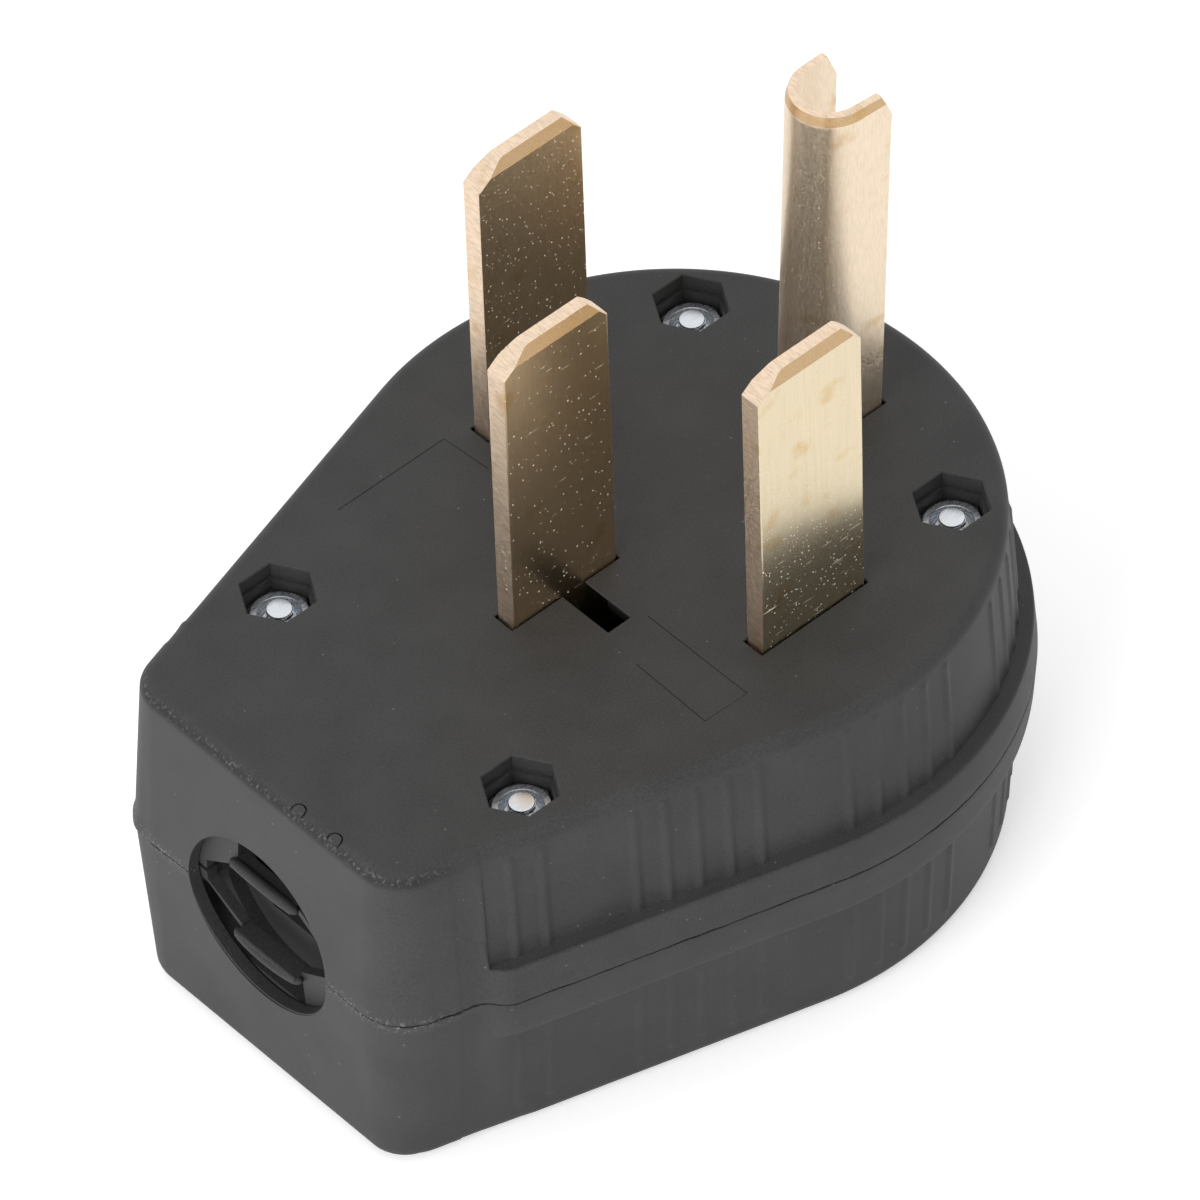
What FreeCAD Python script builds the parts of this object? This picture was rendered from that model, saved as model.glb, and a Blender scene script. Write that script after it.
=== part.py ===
import FreeCAD, Part
import math
import os
import re

import Sketcher

# Angled four-pole plug, lying on its back with the blades up.
# Millimetres. The origin is the middle of the blade pattern on the flat back,
# +X runs away from the cord entry, and the blades point along +Z.

SIZES = (
    # Housing
    ("seam_level", 22.8, "back to the seam between the covers"),
    ("face_level", 44.0, "back to the blade face"),
    ("end_radius", 37.0, "round end of the housing at the seam"),
    ("cord_end", 59.0, "blade centre to the cord face at the seam"),
    ("corner_radius", 6.5, "upright corners of the cord end at the seam"),
    ("side_taper", 16.5, "angle of each side to the centreline, degrees"),
    ("draft", 3.3, "draft of the outer walls, degrees"),
    ("wall", 3.0, "side wall"),
    ("cord_wall", 1.5, "wall at the cord face"),
    ("face_wall", 4.0, "wall at the blade face"),
    ("floor_wall", 3.0, "wall at the back"),
    ("face_round", 1.7, "rounding of the face's rim"),
    ("back_round", 1.9, "rounding of the back's rim"),
    # Belt round the seam
    ("belt_proud", 1.8, "how far the belt stands out at the seam"),
    ("belt_rise", 4.95, "belt on the front cover, above the seam"),
    ("belt_drop", 5.3, "belt on the back cover, below the seam"),
    ("belt_start", 49.8, "blade centre to the start of the belt"),
    ("belt_ramp", 4.5, "length over which the belt swells out"),
    ("belt_draft", 4.0, "draft of the belt, degrees"),
    ("belt_round", 0.3, "rounding of the belt's ledge"),
    # Grip flutes
    ("flute_bottom", 1.3, "flat bottom of each flute"),
    ("flute_depth", 0.75, "depth of a flute beside the belt"),
    ("flute_pitch", 3.6, "flute to flute"),
    ("flute_length", 14.2, "flutes, from the belt towards the face or the back"),
    ("flute_group_first", 52.0, "middle group to the next round the end, degrees"),
    ("flute_group_turn", 38.5, "that group to the next, degrees"),
    ("flute_side_near", 24.4, "blade centre to the middle of the nearer side group"),
    ("flute_side_far", 44.8, "blade centre to the middle of the farther side group"),
    # Cord entry
    ("cord_hole", 10.8, "radius of the cord hole"),
    # Blades
    ("blade_spacing", 42.5, "hot blade to hot blade"),
    ("blade_width", 14.4, "width of a flat blade"),
    ("blade_thick", 2.6, "thickness of a flat blade"),
    ("blade_rise", 39.2, "flat blades, above the face"),
    ("tip_near", 3.4, "corner cut on the cord side, along the width"),
    ("tip_far", 2.2, "corner cut on the far side, along the width"),
    ("tip_drop", 2.6, "corner cut, along the height"),
    ("tip_round", 1.6, "rounding between the top and the corner cut on the cord side"),
    ("tip_bevel", 0.55, "bevel at each side of the tip, across the thickness"),
    ("tip_bevel_drop", 1.5, "that bevel, along the height"),
    ("neutral_back", 16.4, "hot blade centre to the neutral blade centre"),
    ("neutral_side", 0.7, "how far the neutral blade sits off the centreline"),
    ("slot_end_gap", 0.4, "gap at each end of a blade in its slot"),
    ("slot_side_gap", 0.2, "gap at each side of a blade in its slot"),
    ("spare_width", 3.2, "width of the spare slot"),
    ("spare_place", 15.35, "blade centre to the middle of the spare slot"),
    ("spare_reach", 9.2, "centreline to the end of the spare slot"),
    # Ground pin
    ("pin_width", 9.5, "ground pin across its legs"),
    ("pin_sheet", 1.2, "sheet of the ground pin"),
    ("pin_centre", 22.0, "hot blade centre to the middle of the pin's bend"),
    ("pin_leg", 4.4, "straight leg of the ground pin"),
    ("pin_rise", 46.4, "ground pin, above the face"),
    ("pin_cut", 1.5, "slanting cut of a leg's end, along the leg"),
    ("pin_cut_drop", 3.4, "slanting cut of a leg's end, along the height"),
    ("pin_bevel", 0.5, "bevel of the pin's rim"),
    # Terminals
    ("foot_level", 33.0, "back to the underside of the blade feet"),
    ("foot_reach", 13.2, "outer face of a blade to the end of its foot"),
    ("bend_radius", 0.8, "inner radius of a blade's bend"),
    ("terminal_inset", 9.4, "outer face of a blade to its terminal screw"),
    ("ground_terminal", 11.0, "blade centre to the ground terminal screw"),
    ("ground_plate_start", 6.6, "blade centre to the ground plate's cord side"),
    ("ground_plate_width", 11.6, "ground plate across"),
    ("ground_plate_lap", 1.3, "ground plate past the pin's leg ends"),
    ("terminal_radius", 2.4, "terminal screw thread"),
    ("terminal_head", 3.6, "terminal screw head radius"),
    ("terminal_head_height", 2.8, "terminal screw head"),
    ("terminal_past", 1.6, "terminal screw past its foot"),
    ("terminal_crown", 0.6, "rounding of a terminal screw's head and end"),
    ("driver_slot", 1.1, "width of a driver slot"),
    ("driver_slot_depth", 1.3, "depth of a driver slot"),
    ("clamp_width", 11.0, "clamp plate along the housing"),
    ("clamp_length", 7.4, "clamp plate across the housing"),
    ("clamp_thick", 1.5, "clamp plate sheet"),
    ("clamp_lip", 1.0, "turned lip of the clamp plate"),
    ("clamp_gap", 0.3, "clamp plate to the rib beside it"),
    ("seat_width", 2.6, "rib that a foot seats on"),
    ("hold_thick", 2.0, "rib that holds a foot down"),
    ("hold_width", 11.0, "that rib across"),
    # Cover fasteners
    ("screw_radius", 1.5, "cover screw shank"),
    ("screw_clear", 0.2, "gap round a cover screw"),
    ("screw_back_cord", 38.0, "blade centre to the screws by the cord"),
    ("screw_side_cord", 18.9, "centreline to the screws by the cord"),
    ("screw_back_end", 21.9, "blade centre to the screws by the round end"),
    ("screw_side_end", 20.2, "centreline to the screws by the round end"),
    ("screw_end_level", 41.55, "back to the end of a cover screw"),
    ("screw_head_radius", 2.8, "cover screw head"),
    ("screw_head_height", 2.2, "cover screw head"),
    ("screw_seat_level", 6.5, "back to the seat of a cover screw's head"),
    ("screw_well_clear", 0.5, "gap round a cover screw's head"),
    ("screw_crown", 0.5, "rounding of a cover screw's head and end"),
    ("boss_radius", 4.6, "screw boss"),
    ("nut_across", 6.35, "nut across its flats"),
    ("nut_thick", 2.4, "nut"),
    ("nut_turned", 0.1, "how far inside its flats a nut's faces are turned"),
    ("thread_mouth", 0.3, "chamfer of a nut's thread"),
    ("nut_seat_level", 38.35, "back to the seat of a nut"),
    ("nut_clear", 0.25, "gap at each flat of a nut"),
    ("pocket_across", 7.5, "mouth of a nut pocket across its flats"),
    ("pocket_mouth", 2.1, "depth of the wider mouth"),
    # Cord grips
    ("grip_start", 57.3, "blade centre to the front of the grips at the seam"),
    ("grip_length", 12.5, "grips along the cord"),
    ("grip_width", 28.0, "grips across the cord"),
    ("grip_gap", 0.3, "each grip to the seam"),
    ("grip_trough", 10.2, "radius of the cord's trough"),
    ("grip_rib", 1.4, "rib across the trough"),
    ("grip_pitch", 4.6, "rib to rib"),
    ("jaw_outer", 9.7, "centreline to the outer edge of a jaw's slope"),
    ("jaw_inner", 4.7, "centreline to the inner edge of a jaw's slope"),
    ("jaw_outer_gap", 1.5, "seam to the outer edge of a jaw's slope"),
    ("jaw_inner_gap", 4.6, "seam to the inner edge of a jaw's slope"),
    ("jaw_bar_gap", 5.0, "seam to the bar in the middle of a jaw"),
    ("jaw_bar_thick", 0.9, "that bar, away from the seam"),
    ("jaw_bar_proud", 0.9, "how far the bar stands out of the jaw's front"),
    ("jaw_bar_round", 0.4, "rounding of the bar's front"),
    ("jaw_recess_gap", 10.2, "seam to the far side of the recess behind the bar"),
    ("jaw_recess_side", 6.5, "seam to the far side of that recess at its outer end"),
    ("jaw_recess_reach", 11.4, "centreline to the outer end of that recess"),
    ("jaw_lip", 0.5, "lip between one jaw's slope and that recess"),
    ("jaw_recess_depth", 3.0, "depth of that recess"),
    ("rail_thick", 2.0, "rail beside the grips"),
    ("rail_height", 6.0, "that rail"),
    ("rail_clear", 0.25, "gap between a rail and the grips"),
)

ALIASES = {alias for alias, value, note in SIZES}
WORD = re.compile(r"[a-z_]+")
ROOT = -1
X_AXIS = -1
Y_AXIS = -2
START = 1
END = 2
CENTRE = 3

document = FreeCAD.newDocument("angle_plug")
sheet = document.addObject("Spreadsheet::Sheet", "Sizes")


def fill_sheet():
    """Writes each size in its own row: the note, then the number under its alias."""
    for row, (alias, value, note) in enumerate(SIZES, start=1):
        sheet.set(f"A{row}", note)
        sheet.set(f"B{row}", str(value))
        sheet.setAlias(f"B{row}", alias)
    document.recompute()


def in_sheet(text):
    """Expression text with each size's name turned into its cell."""
    return WORD.sub(lambda word: "Sizes." + word.group() if word.group() in ALIASES else word.group(), text)


def size(text):
    """Number that an expression gives."""
    return float(sheet.evalExpression(in_sheet(text)))


def bind(thing, path, text):
    """Ties a property to an expression of the sheet's sizes."""
    thing.setExpression(path, in_sheet(text))


def new_body(label, x="0", y="0", z="0"):
    """A body of its own place."""
    body = document.addObject("PartDesign::Body", label)
    body.Label = label
    for axis, text in zip("xyz", (x, y, z)):
        bind(body, f"Placement.Base.{axis}", text)
    return body


def origin_plane(body, role):
    """One of the body's own origin planes."""
    return next(plane for plane in body.Origin.OriginFeatures if plane.Role == role)


class Drawing:
    """A sketch parallel to one of a body's origin planes, with its points and radii bound to the sheet."""

    def __init__(self, body, name, role="XY_Plane", level="0"):
        self.body = body
        self.sketch = body.newObject("Sketcher::SketchObject", name)
        self.sketch.AttachmentSupport = [(origin_plane(body, role), "")]
        self.sketch.MapMode = "FlatFace"
        bind(self.sketch, "AttachmentOffset.Base.z", level)

    def rule(self, kind, *references):
        """A geometric constraint."""
        return self.sketch.addConstraint(Sketcher.Constraint(kind, *references))

    def measure(self, kind, *references, text):
        """A constraint with a value, bound to the sheet."""
        value = size(text)
        if kind == "Angle":
            value = math.radians(value)
            text = f"({text}) * 1 deg"
        index = self.rule(kind, *references, value)
        bind(self.sketch, f"Constraints[{index}]", text)

    def put(self, item, position, x, y):
        """Holds a point at x, y from the sketch's origin."""
        if x == "0":
            self.rule("PointOnObject", item, position, Y_AXIS)
        else:
            self.measure("DistanceX", ROOT, START, item, position, text=x)
        if y == "0":
            self.rule("PointOnObject", item, position, X_AXIS)
        else:
            self.measure("DistanceY", ROOT, START, item, position, text=y)

    def line(self, start, end):
        """A line between two places given as numbers."""
        segment = Part.LineSegment(FreeCAD.Vector(*start, 0), FreeCAD.Vector(*end, 0))
        return self.sketch.addGeometry(segment, False)

    def arc(self, centre, radius, first, last):
        """An arc, anticlockwise between two angles in degrees."""
        circle = Part.Circle(FreeCAD.Vector(*centre, 0), FreeCAD.Vector(0, 0, 1), radius)
        part = Part.ArcOfCircle(circle, math.radians(first), math.radians(last))
        return self.sketch.addGeometry(part, False)

    def polygon(self, points):
        """A closed outline of straight lines through points given as pairs of expressions."""
        places = [(size(x), size(y)) for x, y in points]
        lines = [self.line(here, there) for here, there in zip(places, places[1:] + places[:1])]
        for line, following in zip(lines, lines[1:] + lines[:1]):
            self.rule("Coincident", line, END, following, START)
        for line, (x, y) in zip(lines, points):
            self.put(line, START, x, y)

    def rectangle(self, x_low, x_high, y_low, y_high):
        """A rectangle between two x and two y expressions."""
        self.polygon(((x_low, y_low), (x_high, y_low), (x_high, y_high), (x_low, y_high)))

    def circle(self, x, y, radius):
        """A circle whose centre and radius are expressions."""
        middle = FreeCAD.Vector(size(x), size(y), 0)
        item = self.sketch.addGeometry(Part.Circle(middle, FreeCAD.Vector(0, 0, 1), size(radius)), False)
        self.put(item, CENTRE, x, y)
        self.measure("Radius", item, text=radius)

    def hexagon(self, x, y, across):
        """A regular hexagon with a corner towards +X, by its width across the flats."""
        corners = []
        for step in range(6):
            turn = f"{60 * step} deg"
            reach = f"({across}) / 2 / cos(30 deg)"
            corners.append((f"{x} + {reach} * cos({turn})", f"{y} + {reach} * sin({turn})"))
        self.polygon(corners)

    def horseshoe(self, centre_x, end_x, radius):
        """Half circle round centre_x on the X axis, with straight legs to end_x."""
        centre, end, reach = size(centre_x), size(end_x), size(radius)
        bend = self.arc((centre, 0), reach, 90, 270)
        lower = self.line((centre, -reach), (end, -reach))
        close = self.line((end, -reach), (end, reach))
        upper = self.line((end, reach), (centre, reach))
        self.put(bend, CENTRE, centre_x, "0")
        self.measure("Radius", bend, text=radius)
        self.rule("Tangent", bend, END, lower, START)
        self.rule("Coincident", lower, END, close, START)
        self.rule("Coincident", close, END, upper, START)
        self.rule("Tangent", upper, END, bend, START)
        self.rule("Vertical", close)
        self.measure("DistanceX", ROOT, START, close, START, text=end_x)

    def teardrop(self, radius, cord_end, corner):
        """Housing outline: round end about the origin, tapering sides, cord face and its two corners."""
        reach, far, turn, slope = size(radius), size(cord_end), size(corner), size("side_taper")
        lean = math.radians(slope)
        touch = (-reach * math.sin(lean), reach * math.cos(lean))
        middle_x = turn - far
        middle_y = touch[1] - (touch[0] - middle_x) * math.tan(lean) - turn / math.cos(lean)
        side_end = (middle_x - turn * math.sin(lean), middle_y + turn * math.cos(lean))
        end = self.arc((0, 0), reach, -90 - slope, 90 + slope)
        left = self.line(touch, side_end)
        left_corner = self.arc((middle_x, middle_y), turn, 90 + slope, 180)
        face = self.line((-far, middle_y), (-far, -middle_y))
        right_corner = self.arc((middle_x, -middle_y), turn, 180, 270 - slope)
        right = self.line((side_end[0], -side_end[1]), (touch[0], -touch[1]))
        chain = (end, left, left_corner, face, right_corner, right)
        for item, following in zip(chain, chain[1:] + chain[:1]):
            self.rule("Tangent", item, END, following, START)
        self.rule("Coincident", end, CENTRE, ROOT, START)
        self.measure("Radius", end, text=radius)
        self.measure("Radius", left_corner, text=corner)
        self.measure("Radius", right_corner, text=corner)
        self.measure("DistanceX", ROOT, START, face, START, text=f"-({cord_end})")
        self.measure("Angle", right, text="-side_taper")
        self.measure("Angle", left, text="180 + side_taper")

    def belt(self):
        """Belt outline: the housing's but further out, swelling out over an S of two equal arcs."""
        slope, reach, proud = size("side_taper"), size("end_radius"), size("belt_proud")
        ramp = "(belt_ramp ^ 2 + belt_proud ^ 2) / (4 * belt_proud)"
        bend = size(ramp)
        lean = math.radians(slope)
        along = (math.cos(lean), math.sin(lean))
        across = (-math.sin(lean), math.cos(lean))

        def place(run, off):
            return (run * along[0] + off * across[0], run * along[1] + off * across[1])

        first_run = (reach * math.sin(lean) - size("belt_start")) / math.cos(lean)
        last_run = first_run + size("belt_ramp")
        swing = math.degrees(math.asin(size("belt_ramp") / (2 * bend)))
        outer = reach + proud
        inner_point = place(first_run, reach)
        hollow_centre = place(first_run, reach + bend)
        crown_centre = place(last_run, outer - bend)
        ramp_end = place(last_run, outer)
        touch = place(0, outer)
        end = self.arc((0, 0), outer, -90 - slope, 90 + slope)
        left = self.line(touch, ramp_end)
        left_crown = self.arc(crown_centre, bend, 90 + slope, 90 + slope + swing)
        left_hollow = self.arc(hollow_centre, bend, 270 + slope, 270 + slope + swing)
        close = self.line(inner_point, (inner_point[0], -inner_point[1]))
        right_hollow = self.arc((hollow_centre[0], -hollow_centre[1]), bend, 90 - slope - swing, 90 - slope)
        right_crown = self.arc((crown_centre[0], -crown_centre[1]), bend, 270 - slope - swing, 270 - slope)
        right = self.line((ramp_end[0], -ramp_end[1]), (touch[0], -touch[1]))
        self.rule("Coincident", end, CENTRE, ROOT, START)
        self.measure("Radius", end, text="end_radius + belt_proud")
        for side, crown, hollow, near_end, far_end in (
            (left, left_crown, left_hollow, START, END),
            (right, right_crown, right_hollow, END, START),
        ):
            self.rule("Tangent", end, far_end, side, near_end)
            self.rule("Tangent", side, far_end, crown, near_end)
            self.rule("Tangent", crown, far_end, hollow, far_end)
            self.measure("Radius", crown, text=ramp)
            self.measure("Radius", hollow, text=ramp)
            self.measure("Distance", hollow, CENTRE, side, text=f"{ramp} - belt_proud")
            self.measure(
                "DistanceX", ROOT, START, hollow, CENTRE,
                text=f"-belt_start - {ramp} * sin(side_taper * 1 deg)",
            )
        self.rule("Coincident", left_hollow, START, close, START)
        self.rule("Coincident", close, END, right_hollow, END)
        self.rule("Vertical", close)
        self.measure("DistanceX", ROOT, START, close, START, text="-belt_start")
        self.measure("Angle", left, text="180 + side_taper")
        self.measure("Angle", right, text="-side_taper")

    def pad(self, name, length, up=True, taper=None, middle=False):
        """Solid of the sketch along its normal, or against it."""
        return self._extrude("PartDesign::Pad", name, length, not up, taper, middle)

    def pocket(self, name, length, up=True, taper=None, middle=False):
        """Cut of the sketch along its normal, or against it."""
        return self._extrude("PartDesign::Pocket", name, length, up, taper, middle)

    def _extrude(self, kind, name, length, flipped, taper, middle):
        before = self.body.Shape.Volume if self.body.Tip else 0.0
        feature = self.body.newObject(kind, name)
        feature.Profile = self.sketch
        bind(feature, "Length", length)
        feature.Reversed = flipped
        if middle:
            feature.SideType = "Symmetric"
        if taper:
            bind(feature, "TaperAngle", f"({taper}) * 1 deg")
        document.recompute()
        check_volume(self.body, before, kind == "PartDesign::Pad")
        return feature


def check_volume(body, before, grows):
    """Stops where an extrusion added or removed nothing."""
    change = body.Shape.Volume - before
    if (change if grows else -change) <= 1e-6:
        raise RuntimeError(f"{body.Tip.Label} of {body.Label} changed the volume by {change}")


def edges_where(feature, test):
    """Names of a feature's edges whose box passes a test."""
    edges = enumerate(feature.Shape.Edges, start=1)
    return [f"Edge{number}" for number, edge in edges if test(edge.BoundBox)]


def near(one, other):
    """Two coordinates that are the same."""
    return abs(one - other) < 1e-4


def fillet(body, name, edges, radius):
    """Rounds the named edges of the body's tip."""
    feature = body.newObject("PartDesign::Fillet", name)
    feature.Base = (feature.BaseFeature, edges)
    bind(feature, "Radius", radius)
    document.recompute()
    return feature


def chamfer(body, name, edges, width):
    """Bevels the named edges of the body's tip."""
    feature = body.newObject("PartDesign::Chamfer", name)
    feature.Base = (feature.BaseFeature, edges)
    bind(feature, "Size", width)
    document.recompute()
    return feature


SCREW_PLACES = (
    ("-screw_back_cord", "screw_side_cord"),
    ("-screw_back_cord", "-screw_side_cord"),
    ("screw_back_end", "screw_side_end"),
    ("screw_back_end", "-screw_side_end"),
)
FOOT_TOP = "(foot_level + blade_thick)"
CAVITY_TOP = "(face_level - face_wall)"
# Flutes of a group, in pitches from its middle. The group by the cord has only the middle two.
FLUTES = (-1.5, -0.5, 0.5, 1.5)
GRIP_HOLLOWS = 3
# Each flat blade: name, centre and the side that its foot turns to.
BLADES = (
    ("hot_blade_left", "0", "blade_spacing / 2", -1),
    ("hot_blade_right", "0", "-blade_spacing / 2", 1),
    ("neutral_blade", "-neutral_back", "-neutral_side", 1),
)


def wall_reach(gap):
    """Round end radius of the housing's wall at a height or depth from the seam."""
    return f"(end_radius - ({gap}) * tan(draft * 1 deg))"


def flutes_along(first):
    """Every second flute of one side: the turn of the wall it is in, and how far along that wall it lies."""
    numbers = FLUTES[first::2]
    places = []
    for middle in ("flute_group_first", "flute_group_first + flute_group_turn"):
        places += [(f"{middle} + {number} * flute_pitch / end_radius * 180 / pi", "0") for number in numbers]
    inner = [number for number in numbers if abs(number) < 1]
    for middle, along in (("flute_side_near", numbers), ("flute_side_far", inner)):
        run = f"({middle} - end_radius * sin(side_taper * 1 deg)) / cos(side_taper * 1 deg)"
        places += [("90 + side_taper", f"{run} + {number} * flute_pitch") for number in along]
    return places


def flute_outlines(drawing, gap, first):
    """Every second flute, a channel with a flat bottom and two slopes, sunk to its depth beside the belt."""
    # The slopes pass the wall at half the pitch, and run on as far outside it as the channel is deep.
    bottom, mouth = "(flute_bottom / 2)", "(flute_pitch - flute_bottom / 2)"
    corners = (
        (f"-{bottom}", "-flute_depth"), (bottom, "-flute_depth"),
        (mouth, "flute_depth"), (f"-{mouth}", "flute_depth"),
    )
    places = [(f"{number} * flute_pitch / end_radius * 180 / pi", "0", 1) for number in FLUTES[first::2]]
    places += [(turn, run, side) for turn, run in flutes_along(first) for side in (1, -1)]
    for turn, run, side in places:
        outline = []
        for off, rise in corners:
            reach, along = f"({wall_reach(gap)} + {rise})", f"({run} + {off})"
            x = f"{reach} * cos(({turn}) * 1 deg) - {along} * sin(({turn}) * 1 deg)"
            y = f"{reach} * sin(({turn}) * 1 deg) + {along} * cos(({turn}) * 1 deg)"
            outline.append((x, f"{side} * ({y})"))
        drawing.polygon(outline)


def cover_shell(label, up):
    """Outer form of a cover: drafted housing, belt, rounded rim and flutes, and its open inside."""
    body = new_body(label)
    height = "face_level - seam_level" if up else "seam_level"
    belt_height = "belt_rise" if up else "belt_drop"
    rim_level = size("face_level") if up else 0.0
    outline = Drawing(body, "outline", level="seam_level")
    outline.teardrop("end_radius", "cord_end", "corner_radius")
    outline.pad("housing", height, up, taper="-draft")
    rim = edges_where(body.Tip, lambda box: near(box.ZMin, rim_level) and near(box.ZMax, rim_level))
    fillet(body, "rim", rim, "face_round" if up else "back_round")
    # The flutes touch each other, so every second one is cut at a time. The belt then fills their foot.
    for first in (0, 1):
        flutes = Drawing(body, f"flute_outline_{first}", level="seam_level")
        flute_outlines(flutes, belt_height, first)
        flutes.pocket(f"flutes_{first}", f"{belt_height} + flute_length", up)
    belt = Drawing(body, "belt_outline", level="seam_level")
    belt.belt()
    belt.pad("belt", belt_height, up, taper="-belt_draft")
    ledge_level = size("seam_level + belt_rise" if up else "seam_level - belt_drop")
    reach = size("end_radius")
    ledge = edges_where(
        body.Tip,
        lambda box: near(box.ZMin, ledge_level) and near(box.ZMax, ledge_level) and box.XMax > reach,
    )
    fillet(body, "ledge", ledge, "belt_round")
    inside = Drawing(body, "inside_outline", level="seam_level")
    inside.teardrop("end_radius - wall", "cord_end - cord_wall", "corner_radius - cord_wall")
    depth = f"{CAVITY_TOP} - seam_level" if up else "seam_level - floor_wall"
    inside.pocket("inside", depth, up, taper="-draft")
    return body


def cord_hole(body):
    """Half hole for the cord, through the wall of the cord face."""
    hole = Drawing(body, "cord_hole_outline", "YZ_Plane", level="-cord_end - cord_wall")
    hole.circle("0", "seam_level", "cord_hole")
    hole.pocket("cord_hole_cut", "3 * cord_wall", up=True)


def screw_bosses(body, up):
    """Four posts for the cover screws, from the seam to the wall, each bored for its screw."""
    posts = Drawing(body, "boss_outline", level="seam_level")
    for x, y in SCREW_PLACES:
        posts.circle(x, y, "boss_radius")
    rise = f"{CAVITY_TOP} - seam_level + face_wall / 2" if up else "seam_level - floor_wall / 2"
    posts.pad("bosses", rise, up)
    bores = Drawing(body, "bore_outline", level="seam_level")
    for x, y in SCREW_PLACES:
        bores.circle(x, y, "screw_radius + screw_clear")
    bores.pocket("bores", "nut_seat_level - seam_level" if up else "seam_level - screw_seat_level", up)


def grip_rails(body, up):
    """Two rails that keep a cord grip in the middle, and a stop behind it."""
    level = CAVITY_TOP if up else "floor_wall"
    rails = Drawing(body, "rail_outline", level=level)
    for side in ("-", ""):
        edges = (f"{side}(grip_width / 2 + rail_clear)", f"{side}(grip_width / 2 + rail_clear + rail_thick)")
        rails.rectangle("-grip_start", "grip_length - grip_start", *(edges if side == "" else edges[::-1]))
    stop = "(grip_length - grip_start + rail_clear)"
    rails.rectangle(stop, f"{stop} + rail_thick", "-grip_width / 4", "grip_width / 4")
    rails.pad("rails", "rail_height", not up)


def front_cover():
    """Front cover: blade face with its slots, nut pockets, foot seats and rails."""
    body = cover_shell("front_cover", True)
    screw_bosses(body, True)
    seats = Drawing(body, "seat_outline", level=FOOT_TOP)
    for label, x, y, side in BLADES:
        for edge in (-1, 1):
            outer = f"({x} + {edge} * blade_width / 2)"
            inner = f"({x} + {edge} * (blade_width / 2 - seat_width))"
            first = f"({y} + {side} * (foot_reach - blade_thick / 2))"
            last = f"({y} + {side} * (blade_thick / 2 + bend_radius + slot_side_gap))"
            seats.rectangle(*sorted((outer, inner), key=size), *sorted((first, last), key=size))
    for edge in (-1, 1):
        outer = f"{edge} * ground_plate_width / 2"
        inner = f"{edge} * (ground_plate_width / 2 - seat_width)"
        seats.rectangle("ground_plate_start", "pin_centre - pin_width / 2 - slot_end_gap",
                        *sorted((outer, inner), key=size))
    seats.pad("foot_seats", f"{CAVITY_TOP} - {FOOT_TOP}")
    grip_rails(body, True)
    slots = Drawing(body, "slot_outline", level="face_level")
    half_long, half_wide = "(blade_width / 2 + slot_end_gap)", "(blade_thick / 2 + slot_side_gap)"
    for label, x, y, side in BLADES[:2]:
        slots.rectangle(f"{x} - {half_long}", f"{x} + {half_long}",
                        f"{y} - {half_wide}", f"{y} + {half_wide}")
    # The neutral blade's slot and the spare slot beside it are one opening.
    low, high = f"-neutral_back - {half_long}", f"-neutral_back + {half_long}"
    bottom, top = f"-neutral_side - {half_wide}", f"-neutral_side + {half_wide}"
    spare_low, spare_high = "-spare_place - spare_width / 2", "-spare_place + spare_width / 2"
    slots.polygon((
        (low, top), (low, bottom), (spare_low, bottom), (spare_low, "-spare_reach"),
        (spare_high, "-spare_reach"), (spare_high, bottom), (high, bottom), (high, top),
    ))
    leg_end = "pin_centre + pin_leg + slot_end_gap"
    slots.horseshoe("pin_centre", leg_end, "pin_width / 2 + slot_side_gap")
    slots.pocket("slots", "face_wall + 1", up=False)
    core = Drawing(body, "pin_core_outline", level="face_level")
    core.horseshoe("pin_centre", leg_end, "pin_width / 2 - pin_sheet - slot_side_gap")
    core.pad("pin_core", "face_wall", up=False)
    wells = Drawing(body, "nut_well_outline", level="nut_seat_level")
    mouths = Drawing(body, "nut_mouth_outline", level="face_level")
    for x, y in SCREW_PLACES:
        wells.hexagon(x, y, "nut_across + 2 * nut_clear")
        mouths.hexagon(x, y, "pocket_across")
    wells.pocket("nut_wells", "face_level - nut_seat_level")
    mouths.pocket("nut_mouths", "pocket_mouth", up=False)
    cord_hole(body)
    return body


def back_cover():
    """Back cover: floor, bosses with wells for the screw heads, ribs that hold the feet down, and rails."""
    body = cover_shell("back_cover", False)
    screw_bosses(body, False)
    wells = Drawing(body, "head_well_outline")
    for x, y in SCREW_PLACES:
        wells.circle(x, y, "screw_head_radius + screw_well_clear")
    wells.pocket("head_wells", "screw_seat_level")
    ribs = Drawing(body, "hold_outline", level="floor_wall")
    for label, x, y, side in BLADES:
        start = f"({y} + {side} * (blade_thick / 2 + bend_radius))"
        edges = sorted((start, f"({start} + {side} * hold_thick)"), key=size)
        ribs.rectangle(f"{x} - hold_width / 2", f"{x} + hold_width / 2", *edges)
    start = "ground_terminal + clamp_width / 2 + clamp_gap"
    ribs.rectangle(start, f"{start} + hold_thick", "-hold_width / 2", "hold_width / 2")
    ribs.pad("hold_ribs", "foot_level - floor_wall")
    grip_rails(body, False)
    cord_hole(body)
    return body


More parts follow.
